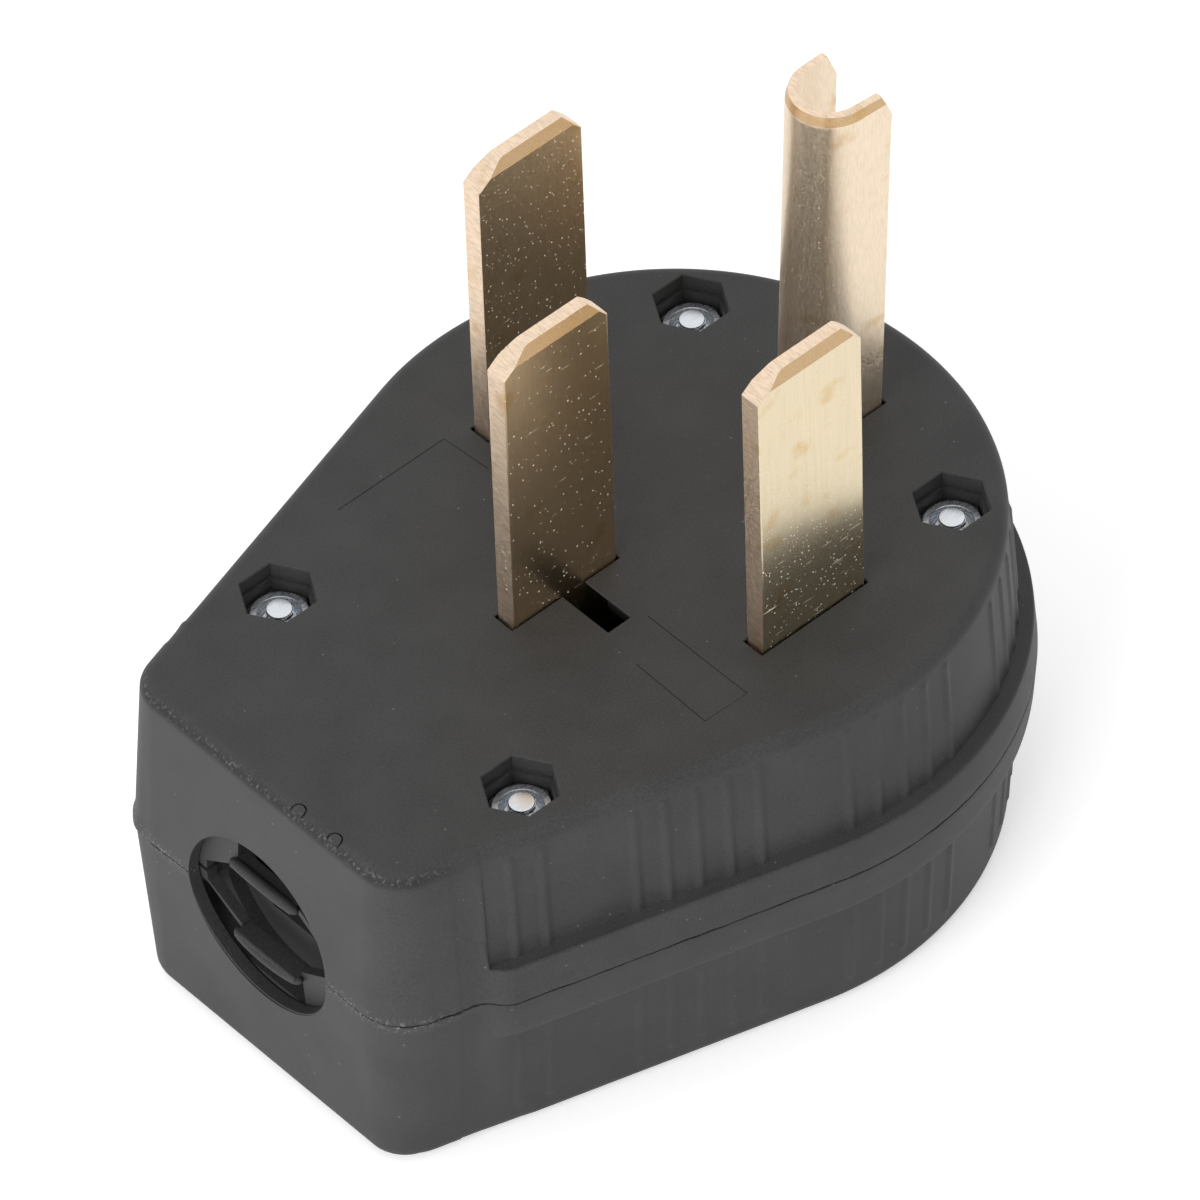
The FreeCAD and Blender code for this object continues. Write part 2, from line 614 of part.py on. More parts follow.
def flat_blade(label, x, y, side):
    """Blade bent from strip: upright through the face, with a foot that carries the terminal screw."""
    body = new_body(label, x, y)
    half = "blade_thick / 2"
    top = "face_level + blade_rise"
    outer = size(half) * -side
    inner = size(half) * side
    low, high, tip = size("foot_level"), size(FOOT_TOP), size(top)
    foot_end = outer + size("foot_reach") * side
    small, large = size("bend_radius"), size("bend_radius + blade_thick")
    section = Drawing(body, "section", "YZ_Plane")
    back = section.line((outer, low + large), (outer, tip))
    crown = section.line((outer, tip), (inner, tip))
    front = section.line((inner, tip), (inner, high + small))
    turn = (inner + small * side, high + small)
    first, last = (180, 270) if side > 0 else (270, 360)
    inside = section.arc(turn, small, first, last)
    above = section.line((turn[0], high), (foot_end, high))
    end = section.line((foot_end, high), (foot_end, low))
    below = section.line((foot_end, low), (turn[0], low))
    outside = section.arc(turn, large, first, last)
    for one, other in ((back, crown), (crown, front), (above, end), (end, below)):
        section.rule("Coincident", one, END, other, START)
    section.rule("Tangent", front, END, inside, START if side > 0 else END)
    section.rule("Tangent", inside, END if side > 0 else START, above, START)
    section.rule("Tangent", below, END, outside, END if side > 0 else START)
    section.rule("Tangent", outside, START if side > 0 else END, back, START)
    section.rule("Vertical", back)
    section.put(crown, START, f"{-side} * {half}", top)
    section.put(crown, END, f"{side} * {half}", top)
    section.put(end, START, f"{side} * (foot_reach - {half})", FOOT_TOP)
    section.put(end, END, f"{side} * (foot_reach - {half})", "foot_level")
    section.measure("Radius", inside, text="bend_radius")
    section.measure("Radius", outside, text="bend_radius + blade_thick")
    section.pad("strip", "blade_width", middle=True)
    bevels = Drawing(body, "bevel_outline", "YZ_Plane")
    for way in ("-", ""):
        face, crest = f"{way}({half})", f"{way}({half} - tip_bevel)"
        outside = f"{way}({half} + 1)"
        bevels.polygon((
            (face, f"{top} - tip_bevel_drop"), (outside, f"{top} - tip_bevel_drop"), (outside, f"{top} + 1"),
            (crest, f"{top} + 1"), (crest, top),
        ))
    bevels.pocket("bevels", "2 * blade_width", middle=True)
    corners = Drawing(body, "corner_outline", "XZ_Plane")
    edge = "blade_width / 2"
    corners.polygon(((f"-{edge}", f"{top} - tip_drop"), (f"-{edge} + tip_near", top),
                     (f"-{edge}", f"{top} + 1"), (f"-{edge} - 1", f"{top} - tip_drop")))
    corners.polygon(((edge, f"{top} - tip_drop"), (f"{edge} + 1", f"{top} - tip_drop"),
                     (edge, f"{top} + 1"), (f"{edge} - tip_far", top)))
    corners.pocket("corner_cuts", "3 * blade_thick", middle=True)
    corner = size(f"tip_near - {edge}")
    rounded = edges_where(
        body.Tip, lambda box: near(box.XMin, corner) and near(box.XMax, corner) and near(box.ZMin, tip))
    fillet(body, "near_corner", rounded, "tip_round")
    hole = Drawing(body, "thread_outline", level=FOOT_TOP)
    hole.circle("0", f"{side} * (terminal_inset - {half})", "terminal_radius")
    hole.pocket("thread_hole", "2 * blade_thick", up=False)
    return body


def ground_pin():
    """Ground pin folded to a U from sheet, its open side away from the cord."""
    body = new_body("ground_pin", "pin_centre")
    outline = Drawing(body, "outline", level="foot_level")
    outline.horseshoe("0", "pin_leg", "pin_width / 2")
    outline.pad("fold", "face_level + pin_rise - foot_level")
    hollow = Drawing(body, "hollow_outline", level="foot_level")
    hollow.horseshoe("0", "pin_leg + 1", "pin_width / 2 - pin_sheet")
    hollow.pocket("hollow", "face_level + pin_rise - foot_level")
    slant = Drawing(body, "slant_outline", "XZ_Plane")
    top = "face_level + pin_rise"
    slant.polygon((("pin_leg - pin_cut", top), ("pin_leg", f"{top} - pin_cut_drop"),
                   ("pin_leg + 1", f"{top} - pin_cut_drop"), ("pin_leg + 1", f"{top} + 1"),
                   ("pin_leg - pin_cut", f"{top} + 1")))
    slant.pocket("slants", "2 * pin_width", middle=True)
    tip, half = size(top), size("pin_width / 2")
    rim = edges_where(body.Tip, lambda box: near(box.ZMin, tip) and near(box.ZMax, tip)
                      and max(abs(box.YMin), abs(box.YMax)) > half - 1e-3 and box.XMax - box.XMin > 0.1)
    chamfer(body, "rim_bevel", rim, "pin_bevel")
    return body


def ground_plate():
    """Ground terminal plate, with the opening that the pin's root is staked in."""
    body = new_body("ground_terminal_plate")
    outline = Drawing(body, "outline", level="foot_level")
    end = "pin_centre + pin_leg + ground_plate_lap"
    outline.rectangle("ground_plate_start", end, "-ground_plate_width / 2", "ground_plate_width / 2")
    outline.pad("plate", "blade_thick")
    opening = Drawing(body, "opening_outline", level="foot_level")
    opening.horseshoe("pin_centre", "pin_centre + pin_leg", "pin_width / 2")
    opening.pocket("opening", "blade_thick")
    core = Drawing(body, "core_outline", level="foot_level")
    core.horseshoe("pin_centre", "pin_centre + pin_leg + ground_plate_lap / 2", "pin_width / 2 - pin_sheet")
    core.pad("core", "blade_thick")
    hole = Drawing(body, "thread_outline", level=FOOT_TOP)
    hole.circle("ground_terminal", "0", "terminal_radius")
    hole.pocket("thread_hole", "2 * blade_thick", up=False)
    return body


TERMINALS = tuple(
    (label, x, f"{y} + {side} * (terminal_inset - blade_thick / 2)") for label, x, y, side in BLADES
) + (("ground_pin", "ground_terminal", "0"),)
TERMINAL_NAMES = {
    "hot_blade_left": "hot_left",
    "hot_blade_right": "hot_right",
    "neutral_blade": "neutral",
    "ground_pin": "ground",
}


def clamp_plate(label, x, y):
    """Pressed clamp plate under a terminal: flat web with two lips turned away from the wire."""
    body = new_body(label, x, y)
    section = Drawing(body, "section", "XZ_Plane")
    half, low = "clamp_width / 2", "foot_level - clamp_thick"
    lip, inner = f"{low} - clamp_lip", f"({half} - clamp_thick)"
    section.polygon((
        (f"-{half}", "foot_level"), (f"-{half}", lip), (f"-{inner}", lip), (f"-{inner}", low),
        (inner, low), (inner, lip), (half, lip), (half, "foot_level"),
    ))
    section.pad("web", "clamp_length", middle=True)
    hole = Drawing(body, "hole_outline", level="foot_level")
    hole.circle("0", "0", "terminal_radius + screw_clear")
    hole.pocket("hole", "2 * clamp_thick", up=False)
    return body


def headed_screw(label, x, y, radius, end_level, seat_level, head, head_height, crown):
    """Screw turned about Z, head down, with a straight driver slot and a rounded end."""
    body = new_body(label, x, y)
    profile = Drawing(body, "profile", "XZ_Plane")
    profile.polygon((
        ("0", f"{seat_level} - {head_height}"), (head, f"{seat_level} - {head_height}"),
        (head, seat_level), (radius, seat_level), (radius, end_level), ("0", end_level),
    ))
    turned = body.newObject("PartDesign::Revolution", "turned")
    turned.Profile = profile.sketch
    turned.ReferenceAxis = (profile.sketch, ["V_Axis"])
    turned.Angle = 360
    document.recompute()
    top, bottom = size(end_level), size(f"{seat_level} - {head_height}")
    ends = edges_where(body.Tip, lambda box: near(box.ZMin, box.ZMax) and near(box.ZMax, top))
    fillet(body, "rounded_end", ends, crown)
    rim = edges_where(body.Tip, lambda box: near(box.ZMin, box.ZMax) and near(box.ZMax, bottom))
    fillet(body, "rounded_head", rim, crown)
    slot = Drawing(body, "slot_outline", level=f"{seat_level} - {head_height}")
    slot.rectangle(f"-{head} - 1", f"{head} + 1", "-driver_slot / 2", "driver_slot / 2")
    slot.pocket("driver_slot_cut", "driver_slot_depth")
    return body


def cover_nut(label, x, y):
    """Hexagon nut with corners turned off at both faces and a chamfered thread."""
    body = new_body(label, x, y, "nut_seat_level")
    flats = Drawing(body, "flats")
    flats.hexagon("0", "0", "nut_across")
    flats.pad("prism", "nut_thick")
    turning = Drawing(body, "turning_outline", "XZ_Plane")
    inner = "(nut_across / 2 - nut_turned)"
    outer = "(nut_across / 2 / cos(30 deg) + nut_turned)"
    for level, way in (("0", 1), ("nut_thick", -1)):
        slope = f"{level} + {way} * ({outer} - {inner}) * tan(30 deg)"
        turning.polygon(((inner, level), (outer, level), (outer, slope)))
    groove = body.newObject("PartDesign::Groove", "turned_corners")
    groove.Profile = turning.sketch
    groove.ReferenceAxis = (turning.sketch, ["V_Axis"])
    groove.Angle = 360
    document.recompute()
    bore = Drawing(body, "bore_outline")
    bore.circle("0", "0", "screw_radius")
    bore.pocket("bore", "nut_thick")
    radius = size("screw_radius")
    mouths = edges_where(body.Tip, lambda box: near(box.ZMin, box.ZMax) and near(box.XMax, radius))
    chamfer(body, "thread_mouths", mouths, "thread_mouth")
    return body


def cord_grip(label, side):
    """Half of the cord grip: block with a trough, crossed by ribs whose sloping jaws meet a middle bar."""
    body = new_body(label)
    seam = f"(seam_level + {side} * grip_gap)"
    wall_level = CAVITY_TOP if side > 0 else "floor_wall"
    wall_rise = "(face_level - face_wall - seam_level)" if side > 0 else "(seam_level - floor_wall)"
    slope = f"{wall_rise} * tan(draft * 1 deg)"
    block = Drawing(body, "block_outline", "XZ_Plane")
    block.polygon((
        ("-grip_start", seam), ("grip_length - grip_start", seam),
        ("grip_length - grip_start", wall_level), (f"{slope} - grip_start", wall_level),
    ))
    block.pad("block", "grip_width", middle=True)
    mouth = Drawing(body, "jaw_outline", "YZ_Plane", level="-grip_start")

    def level(gap):
        return f"(seam_level + {side} * ({gap}))"

    mouth.polygon((
        ("-jaw_outer", level("-grip_gap")), ("jaw_outer", level("-grip_gap")),
        ("jaw_outer", level("jaw_outer_gap")),
        ("jaw_inner", level("jaw_inner_gap")), ("jaw_inner", level("jaw_bar_gap")),
        ("-jaw_inner", level("jaw_bar_gap")), ("-jaw_inner", level("jaw_inner_gap")),
        ("-jaw_outer", level("jaw_outer_gap")),
    ))
    mouth.pocket("jaw_mouth", "grip_length")
    for number in range(GRIP_HOLLOWS):
        start = f"-grip_start + grip_rib + {number} * grip_pitch"
        hollow = Drawing(body, f"hollow_outline_{number + 1}", "YZ_Plane", level=start)
        hollow.circle("0", "seam_level", "grip_trough")
        hollow.pocket(f"hollow_{number + 1}", "grip_pitch - grip_rib")
    # The recess lies behind the bar and behind one jaw, where it leaves a lip along the jaw's slope.
    recess = Drawing(body, "recess_outline", "YZ_Plane", level="-grip_start")
    inner, outer, far = f"({side} * jaw_inner)", f"({side} * jaw_outer)", f"({side} * jaw_recess_reach)"
    lip = level("jaw_outer_gap + jaw_lip")
    recess.polygon((
        (inner, level("jaw_bar_gap")), (f"-{inner}", level("jaw_bar_gap")),
        (f"-{inner}", level("jaw_bar_gap + jaw_lip")), (f"-{outer}", lip), (f"-{far}", lip),
        (f"-{far}", level("jaw_recess_side")),
        (f"-{inner}", level("jaw_recess_gap")), (inner, level("jaw_recess_gap")),
    ))
    recess.pocket("recess", "jaw_recess_depth")
    bar = Drawing(body, "bar_outline", "YZ_Plane", level="-grip_start - jaw_bar_proud")
    bar_end = level("jaw_bar_gap + jaw_bar_thick")
    bar.rectangle("-jaw_inner", "jaw_inner", *sorted((level("jaw_bar_gap"), bar_end), key=size))
    bar.pad("bar", "jaw_bar_proud + grip_rib")
    front = size("-grip_start - jaw_bar_proud")
    edges = edges_where(
        body.Tip, lambda box: near(box.XMin, front) and near(box.XMax, front) and near(box.ZMin, box.ZMax))
    fillet(body, "bar_front", edges, "jaw_bar_round")
    return body


def check_model(parts):
    """Stops if anything in the document failed, or a sub-part has no sound shape."""
    failed = [item.Label for item in document.Objects if {"Invalid", "Error"} & set(item.State)]
    if failed:
        raise RuntimeError(f"failed objects: {failed}")
    for part in parts:
        if part.Shape.isNull() or not part.Shape.isValid() or not part.Shape.Solids:
            raise RuntimeError(f"{part.Label} has no sound shape")


def build():
    """All sub-parts of the plug."""
    fill_sheet()
    parts = [front_cover(), back_cover()]
    parts += [flat_blade(*blade) for blade in BLADES]
    parts += [ground_pin(), ground_plate()]
    clamp_low = "(foot_level - clamp_thick)"
    for owner, x, y in TERMINALS:
        name = TERMINAL_NAMES[owner]
        parts.append(clamp_plate(f"{name}_clamp_plate", x, y))
        parts.append(headed_screw(
            f"{name}_terminal_screw", x, y, "terminal_radius", f"{FOOT_TOP} + terminal_past",
            clamp_low, "terminal_head", "terminal_head_height", "terminal_crown"))
    for number, (x, y) in enumerate(SCREW_PLACES, start=1):
        parts.append(headed_screw(
            f"cover_screw_{number}", x, y, "screw_radius", "screw_end_level",
            "screw_seat_level", "screw_head_radius", "screw_head_height", "screw_crown"))
        parts.append(cover_nut(f"cover_nut_{number}", x, y))
    parts += [cord_grip("upper_cord_grip", 1), cord_grip("lower_cord_grip", -1)]
    document.recompute()
    check_model(parts)
    return parts


def export(parts):
    """Writes each sub-part to a file named for it."""
    os.makedirs("parts", exist_ok=True)
    for part in parts:
        part.Shape.exportStep(f"parts/{part.Label}.step")
        box = part.Shape.BoundBox
        spans = ((box.XMin, box.XMax), (box.YMin, box.YMax), (box.ZMin, box.ZMax))
        reach = " ".join(f"{low:.2f}..{high:.2f}" for low, high in spans)
        print(f"{part.Label}: {part.Shape.Volume / 1000:.2f} cm3, {len(part.Shape.Solids)} solid, {reach}")


export(build())
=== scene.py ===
import math

import bpy
import numpy as np
from bpy.props import FloatProperty, FloatVectorProperty, IntProperty, PointerProperty
from mathutils import Matrix, Vector


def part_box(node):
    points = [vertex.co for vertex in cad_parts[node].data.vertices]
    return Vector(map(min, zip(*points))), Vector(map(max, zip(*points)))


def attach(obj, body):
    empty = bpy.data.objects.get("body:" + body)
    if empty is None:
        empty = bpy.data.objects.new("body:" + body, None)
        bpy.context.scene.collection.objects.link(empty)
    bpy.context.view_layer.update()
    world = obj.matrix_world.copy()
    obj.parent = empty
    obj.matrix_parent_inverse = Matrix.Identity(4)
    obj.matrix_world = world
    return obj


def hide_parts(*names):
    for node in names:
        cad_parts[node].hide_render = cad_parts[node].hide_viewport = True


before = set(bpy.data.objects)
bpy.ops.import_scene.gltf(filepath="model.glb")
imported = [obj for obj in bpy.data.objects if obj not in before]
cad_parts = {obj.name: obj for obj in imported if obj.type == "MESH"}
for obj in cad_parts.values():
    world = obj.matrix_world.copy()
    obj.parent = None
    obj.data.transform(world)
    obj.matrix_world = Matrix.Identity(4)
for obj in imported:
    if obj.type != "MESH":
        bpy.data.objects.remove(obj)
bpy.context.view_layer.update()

bl_info = {
    "name": "Angled plug",
    "version": (1, 0, 0),
    "blender": (4, 5, 0),
    "location": "View3D > Sidebar > Plug",
    "description": "Builds an angled plug with brass blades and a fluted nylon housing",
    "category": "Object",
}

MM = 0.001
BODY = "root"
FRONT_LOW, FRONT_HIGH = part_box("front_cover")
BACK_LOW, BACK_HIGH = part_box("back_cover")
SEAM = FRONT_LOW.z
FACE = FRONT_HIGH.z
# Housing as model.glb has it, in metres, with the seam's outline as the one that the rest is drawn from.
CORD_END = -FRONT_LOW.x
BELT_REACH = FRONT_HIGH.x
SIDE_TAPER = math.radians(16.5)
DRAFT = math.tan(math.radians(3.3))
BELT_DRAFT = math.tan(math.radians(4.0))
# The block round the cord hole stands this far out of the sides, and the moulding burrs out of the block.
BLOCK = 0.1 * MM
BURR = 0.1 * MM
# Levels of the two covers' inner faces, of the nuts' seats and of the screw heads' seats.
FACE_INSIDE = FACE - 4.0 * MM
BACK_INSIDE = 3.0 * MM
NUT_SEAT = 38.35 * MM
HEAD_SEAT = 6.5 * MM
WHITE = (1.0, 1.0, 1.0, 1.0)
SCREW_PLACES = ((-0.038, 0.0189), (-0.038, -0.0189), (0.0219, 0.0202), (0.0219, -0.0202))
# Each flat blade: node, centre, and the side that its foot turns to.
BLADES = (
    ("hot_blade_left", 0.0, 0.02125, -1),
    ("hot_blade_right", 0.0, -0.02125, 1),
    ("neutral_blade", -0.0164, -0.0007, 1),
)


def linear(code):
    """Linear colour of an sRGB hex code."""
    values = [int(code[place:place + 2], 16) / 255 for place in (1, 3, 5)]
    return tuple(value / 12.92 if value <= 0.04045 else ((value + 0.055) / 1.055) ** 2.4 for value in values)


def length(name, description, millimetres):
    """A length that a user can set."""
    return FloatProperty(
        name=name, description=description, default=millimetres * MM, unit="LENGTH", precision=5)


def colour(name, description, code):
    """A colour that a user can set."""
    return FloatVectorProperty(
        name=name, description=description, default=linear(code), subtype="COLOR", size=3, min=0, max=1)


class HousingSizes(bpy.types.PropertyGroup):
    """Sizes of the two covers."""

    belt_proud: length("Belt", "How far the belt stands out at the seam", 1.8)
    belt_rise: length("Belt rise", "Belt above the seam", 4.95)
    belt_drop: length("Belt drop", "Belt below the seam", 5.3)
    belt_start: length("Belt start", "Blade centre to the start of the belt", 49.8)
    belt_ramp: length("Belt ramp", "Length over which the belt swells out", 4.5)
    recess_start: length("Recess start", "Blade centre to the end of the recess that the ribs stand in", 48.1)
    corner: length("Corner", "Radius of the upright corners of the cord end", 6.5)
    wall: length("Wall", "Side wall", 3.0)
    cord_wall: length("Cord wall", "Wall at the cord face", 1.5)
    face_round: length("Face rounding", "Rounding of the rim of the blade face", 1.7)
    back_round: length("Back rounding", "Rounding of the rim of the back", 1.9)
    rib_pitch: length("Rib pitch", "Grip rib to grip rib", 3.6)
    rib_half: length("Rib half width", "Middle of a grip rib to its foot", 0.85)
    rib_proud: length("Rib height", "How far a grip rib stands out of the front cover's wall", 0.27)
    rib_proud_back: length("Back rib height", "The same on the back cover", 0.24)
    seam_gap: length("Seam gap", "Usual gap between the covers at the seam", 0.17)
    cord_hole: length("Cord hole", "Radius of the cord hole", 10.8)
    columns: IntProperty(name="Columns", description="Points round the housing", default=1200, min=100)


class BladeSizes(bpy.types.PropertyGroup):
    """Sizes of the flat blades and the ground pin."""

    width: length("Width", "Width of a flat blade", 14.4)
    thick: length("Thickness", "Thickness of a flat blade", 2.6)
    tip_near: length("Near corner", "Corner cut on the cord side, along the width", 3.4)
    tip_far: length("Far corner", "Corner cut on the far side, along the width", 2.2)
    tip_drop: length("Corner drop", "Corner cuts, along the height", 2.6)
    tip_round: length("Tip rounding", "Rounding between the near cut and the top", 1.6)
    bevel: length("Tip bevel", "Bevel of the tip, across the thickness", 0.55)
    bevel_drop: length("Tip bevel drop", "Bevel of the tip, along the height", 1.5)
    edge: length("Edge", "Rounding of the blade edges", 0.18)
    bend: length("Bend", "Inner radius of a blade's bend", 0.8)
    pin_width: length("Pin width", "Ground pin across its legs", 9.5)
    pin_sheet: length("Pin sheet", "Sheet of the ground pin", 1.2)
    pin_leg: length("Pin leg", "Straight leg of the ground pin", 4.4)
    pin_cut: length("Pin cut", "Slanting cut of a leg's end, along the leg", 1.5)
    pin_cut_drop: length("Pin cut drop", "Slanting cut of a leg's end, along the height", 3.4)
    pin_bevel: length("Pin bevel", "Bevel of the pin's outer rim, across the sheet", 0.3)
    pin_bevel_drop: length("Pin bevel drop", "Bevel of the pin's outer rim, along the height", 1.25)
    pin_lean: FloatProperty(
        name="Pin lean", description="Lean of the pin towards the round end and the right, per height",
        default=0.024)


class PlugColours(bpy.types.PropertyGroup):
    """Colours of the finishes."""

    nylon: colour("Nylon", "Moulded housing", "#383838")
    nylon_dust: colour("Nylon specks", "Light specks on the housing", "#8C8C8A")
    grip: colour("Grip nylon", "Cord grips", "#353536")
    brass: colour("Brass", "Drawn brass strip", "#EADABA")
    brass_dark: colour("Dark brass", "Stains on the brass", "#D2A550")
    brass_tarnished: colour("Tarnished brass", "Browned brass strip", "#EED2AA")
    brass_sheet: colour("Brass sheet", "Folded sheet of the ground pin", "#F9E6CC")
    # Near-white colour of the pits and scratches: a painted glint, not the brass's own colour.
    brass_pit_glint: colour("Pitted brass", "Pits in the brass", "#FBF3E2")
    brass_streak: colour("Streaked brass", "Draw lines in the brass", "#271D16")
    ground_tip: colour("Ground brass", "Ground and sheared ends", "#FAE3C9")
    # Darker golden brown copy of the brass, for the bevel faces of the tips.
    bevel_brown: colour("Coined brass", "Bevels of the tips", "#D6B68C")
    zinc: colour("Zinc", "Bright zinc plating", "#DFE3E8")
    green: colour("Green zinc", "Green passivated ground screw", "#2F6B3C")
    floor: colour("Floor", "Floor and backdrop", "#F4F4F4")


def ramp(value, none, whole):
    """Straight ramp, from 0 where the value is none to 1 where it is whole."""
    return np.clip((value - none) / (whole - none), 0, 1)


def housing():
    """The housing's sizes as set in the panel."""
    return bpy.context.scene.plug_housing


def blade_sizes():
    """The sizes of the blades and the ground pin as set in the panel."""
    return bpy.context.scene.plug_blades


def finishes():
    """The colours as set in the panel."""
    return bpy.context.scene.plug_colours


def outline(reach, cord_end, corner, count):
    """Round of the housing at one level: arcs and straight runs joined as one smooth line.

    A round end of radius reach about the origin, two sides that taper towards the cord at SIDE_TAPER, a flat
    face at x = -cord_end and two corner arcs. Returns the points, the outward normals, the arc lengths and
    the whole length, for count points at equal steps from the middle of the round end.
    """
    centre_x = corner - cord_end
    touch_x, touch_y = -reach * math.sin(SIDE_TAPER), reach * math.cos(SIDE_TAPER)
    centre_y = touch_y - (touch_x - centre_x) * math.tan(SIDE_TAPER) - corner / math.cos(SIDE_TAPER)
    side = (touch_x - centre_x + corner * math.sin(SIDE_TAPER)) / math.cos(SIDE_TAPER)
    end_turn, corner_turn = math.pi / 2 + SIDE_TAPER, math.pi / 2 - SIDE_TAPER
    spans = np.array([reach * end_turn, side, corner * corner_turn, 2 * centre_y,
                      corner * corner_turn, side, reach * end_turn])
    bends = np.array([1 / reach, 0, 1 / corner, 0, 1 / corner, 0, 1 / reach])
    begins = np.concatenate([[0], np.cumsum(spans)])
    headings = math.pi / 2 + np.concatenate([[0], np.cumsum(spans * bends)])

    def chord(heading, bend, run):
        """Step from one end of an arc or straight run to the other, as a complex number."""
        return run * np.sinc(bend * run / math.tau) * np.exp(1j * (heading + bend * run / 2))

    starts = reach + np.concatenate([[0], np.cumsum(chord(headings[:-1], bends, spans))])
    along = np.arange(count) * begins[-1] / count
    span = np.clip(np.searchsorted(begins, along, side="right") - 1, 0, len(spans) - 1)
    run = along - begins[span]
    place = starts[span] + chord(headings[span], bends[span], run)
    heading = headings[span] + bends[span] * run
    points = np.column_stack([place.real, place.imag])
    normals = np.column_stack([np.sin(heading), -np.cos(heading)])
    return points, normals, along, begins[-1]


def swell(x):
    """How far the belt stands out at the seam, which grows along an S of two equal curves."""
    size = housing()
    run = np.clip((x + size.belt_start) / math.cos(SIDE_TAPER) / size.belt_ramp, 0, 1)
    return size.belt_proud * np.where(run < 0.5, 2 * run ** 2, 1 - 2 * (1 - run) ** 2)


def rib_rise(along, whole, reach):
    """Grip ribs, from 0 on the plain wall to 1 at a rib's middle, as a raised cosine across each rib."""
    size = housing()
    end = reach * (math.pi / 2 + SIDE_TAPER)
    first, second = reach * math.radians(52), reach * math.radians(90.5)
    side, far = ((place * MM - reach * math.sin(SIDE_TAPER)) / math.cos(SIDE_TAPER) + end
                 for place in (24.4, 44.8))
    # Five ribs at the middle of the round end, five at three places on each side, and two more far back.
    five = np.arange(-2, 3) * size.rib_pitch
    middles = [five] + [sign * place + five for place in (first, second, side) for sign in (-1, 1)]
    middles += [sign * far + sign * five[1:3] for sign in (-1, 1)]
    off = np.abs((along[:, None] - np.concatenate(middles) + whole / 2) % whole - whole / 2).min(axis=1)
    return 0.5 + 0.5 * np.cos(math.pi * np.clip(off / size.rib_half, 0, 1))


def unevenness(along, whole, step, seed):
    """Noise round the housing: random values from -1 to 1 at equal steps, joined by straight lines."""
    count = int(whole / step)
    values = np.random.default_rng(seed).uniform(-1, 1, count)
    return np.interp(along * count / whole, np.arange(count + 1), np.append(values, values[0]))


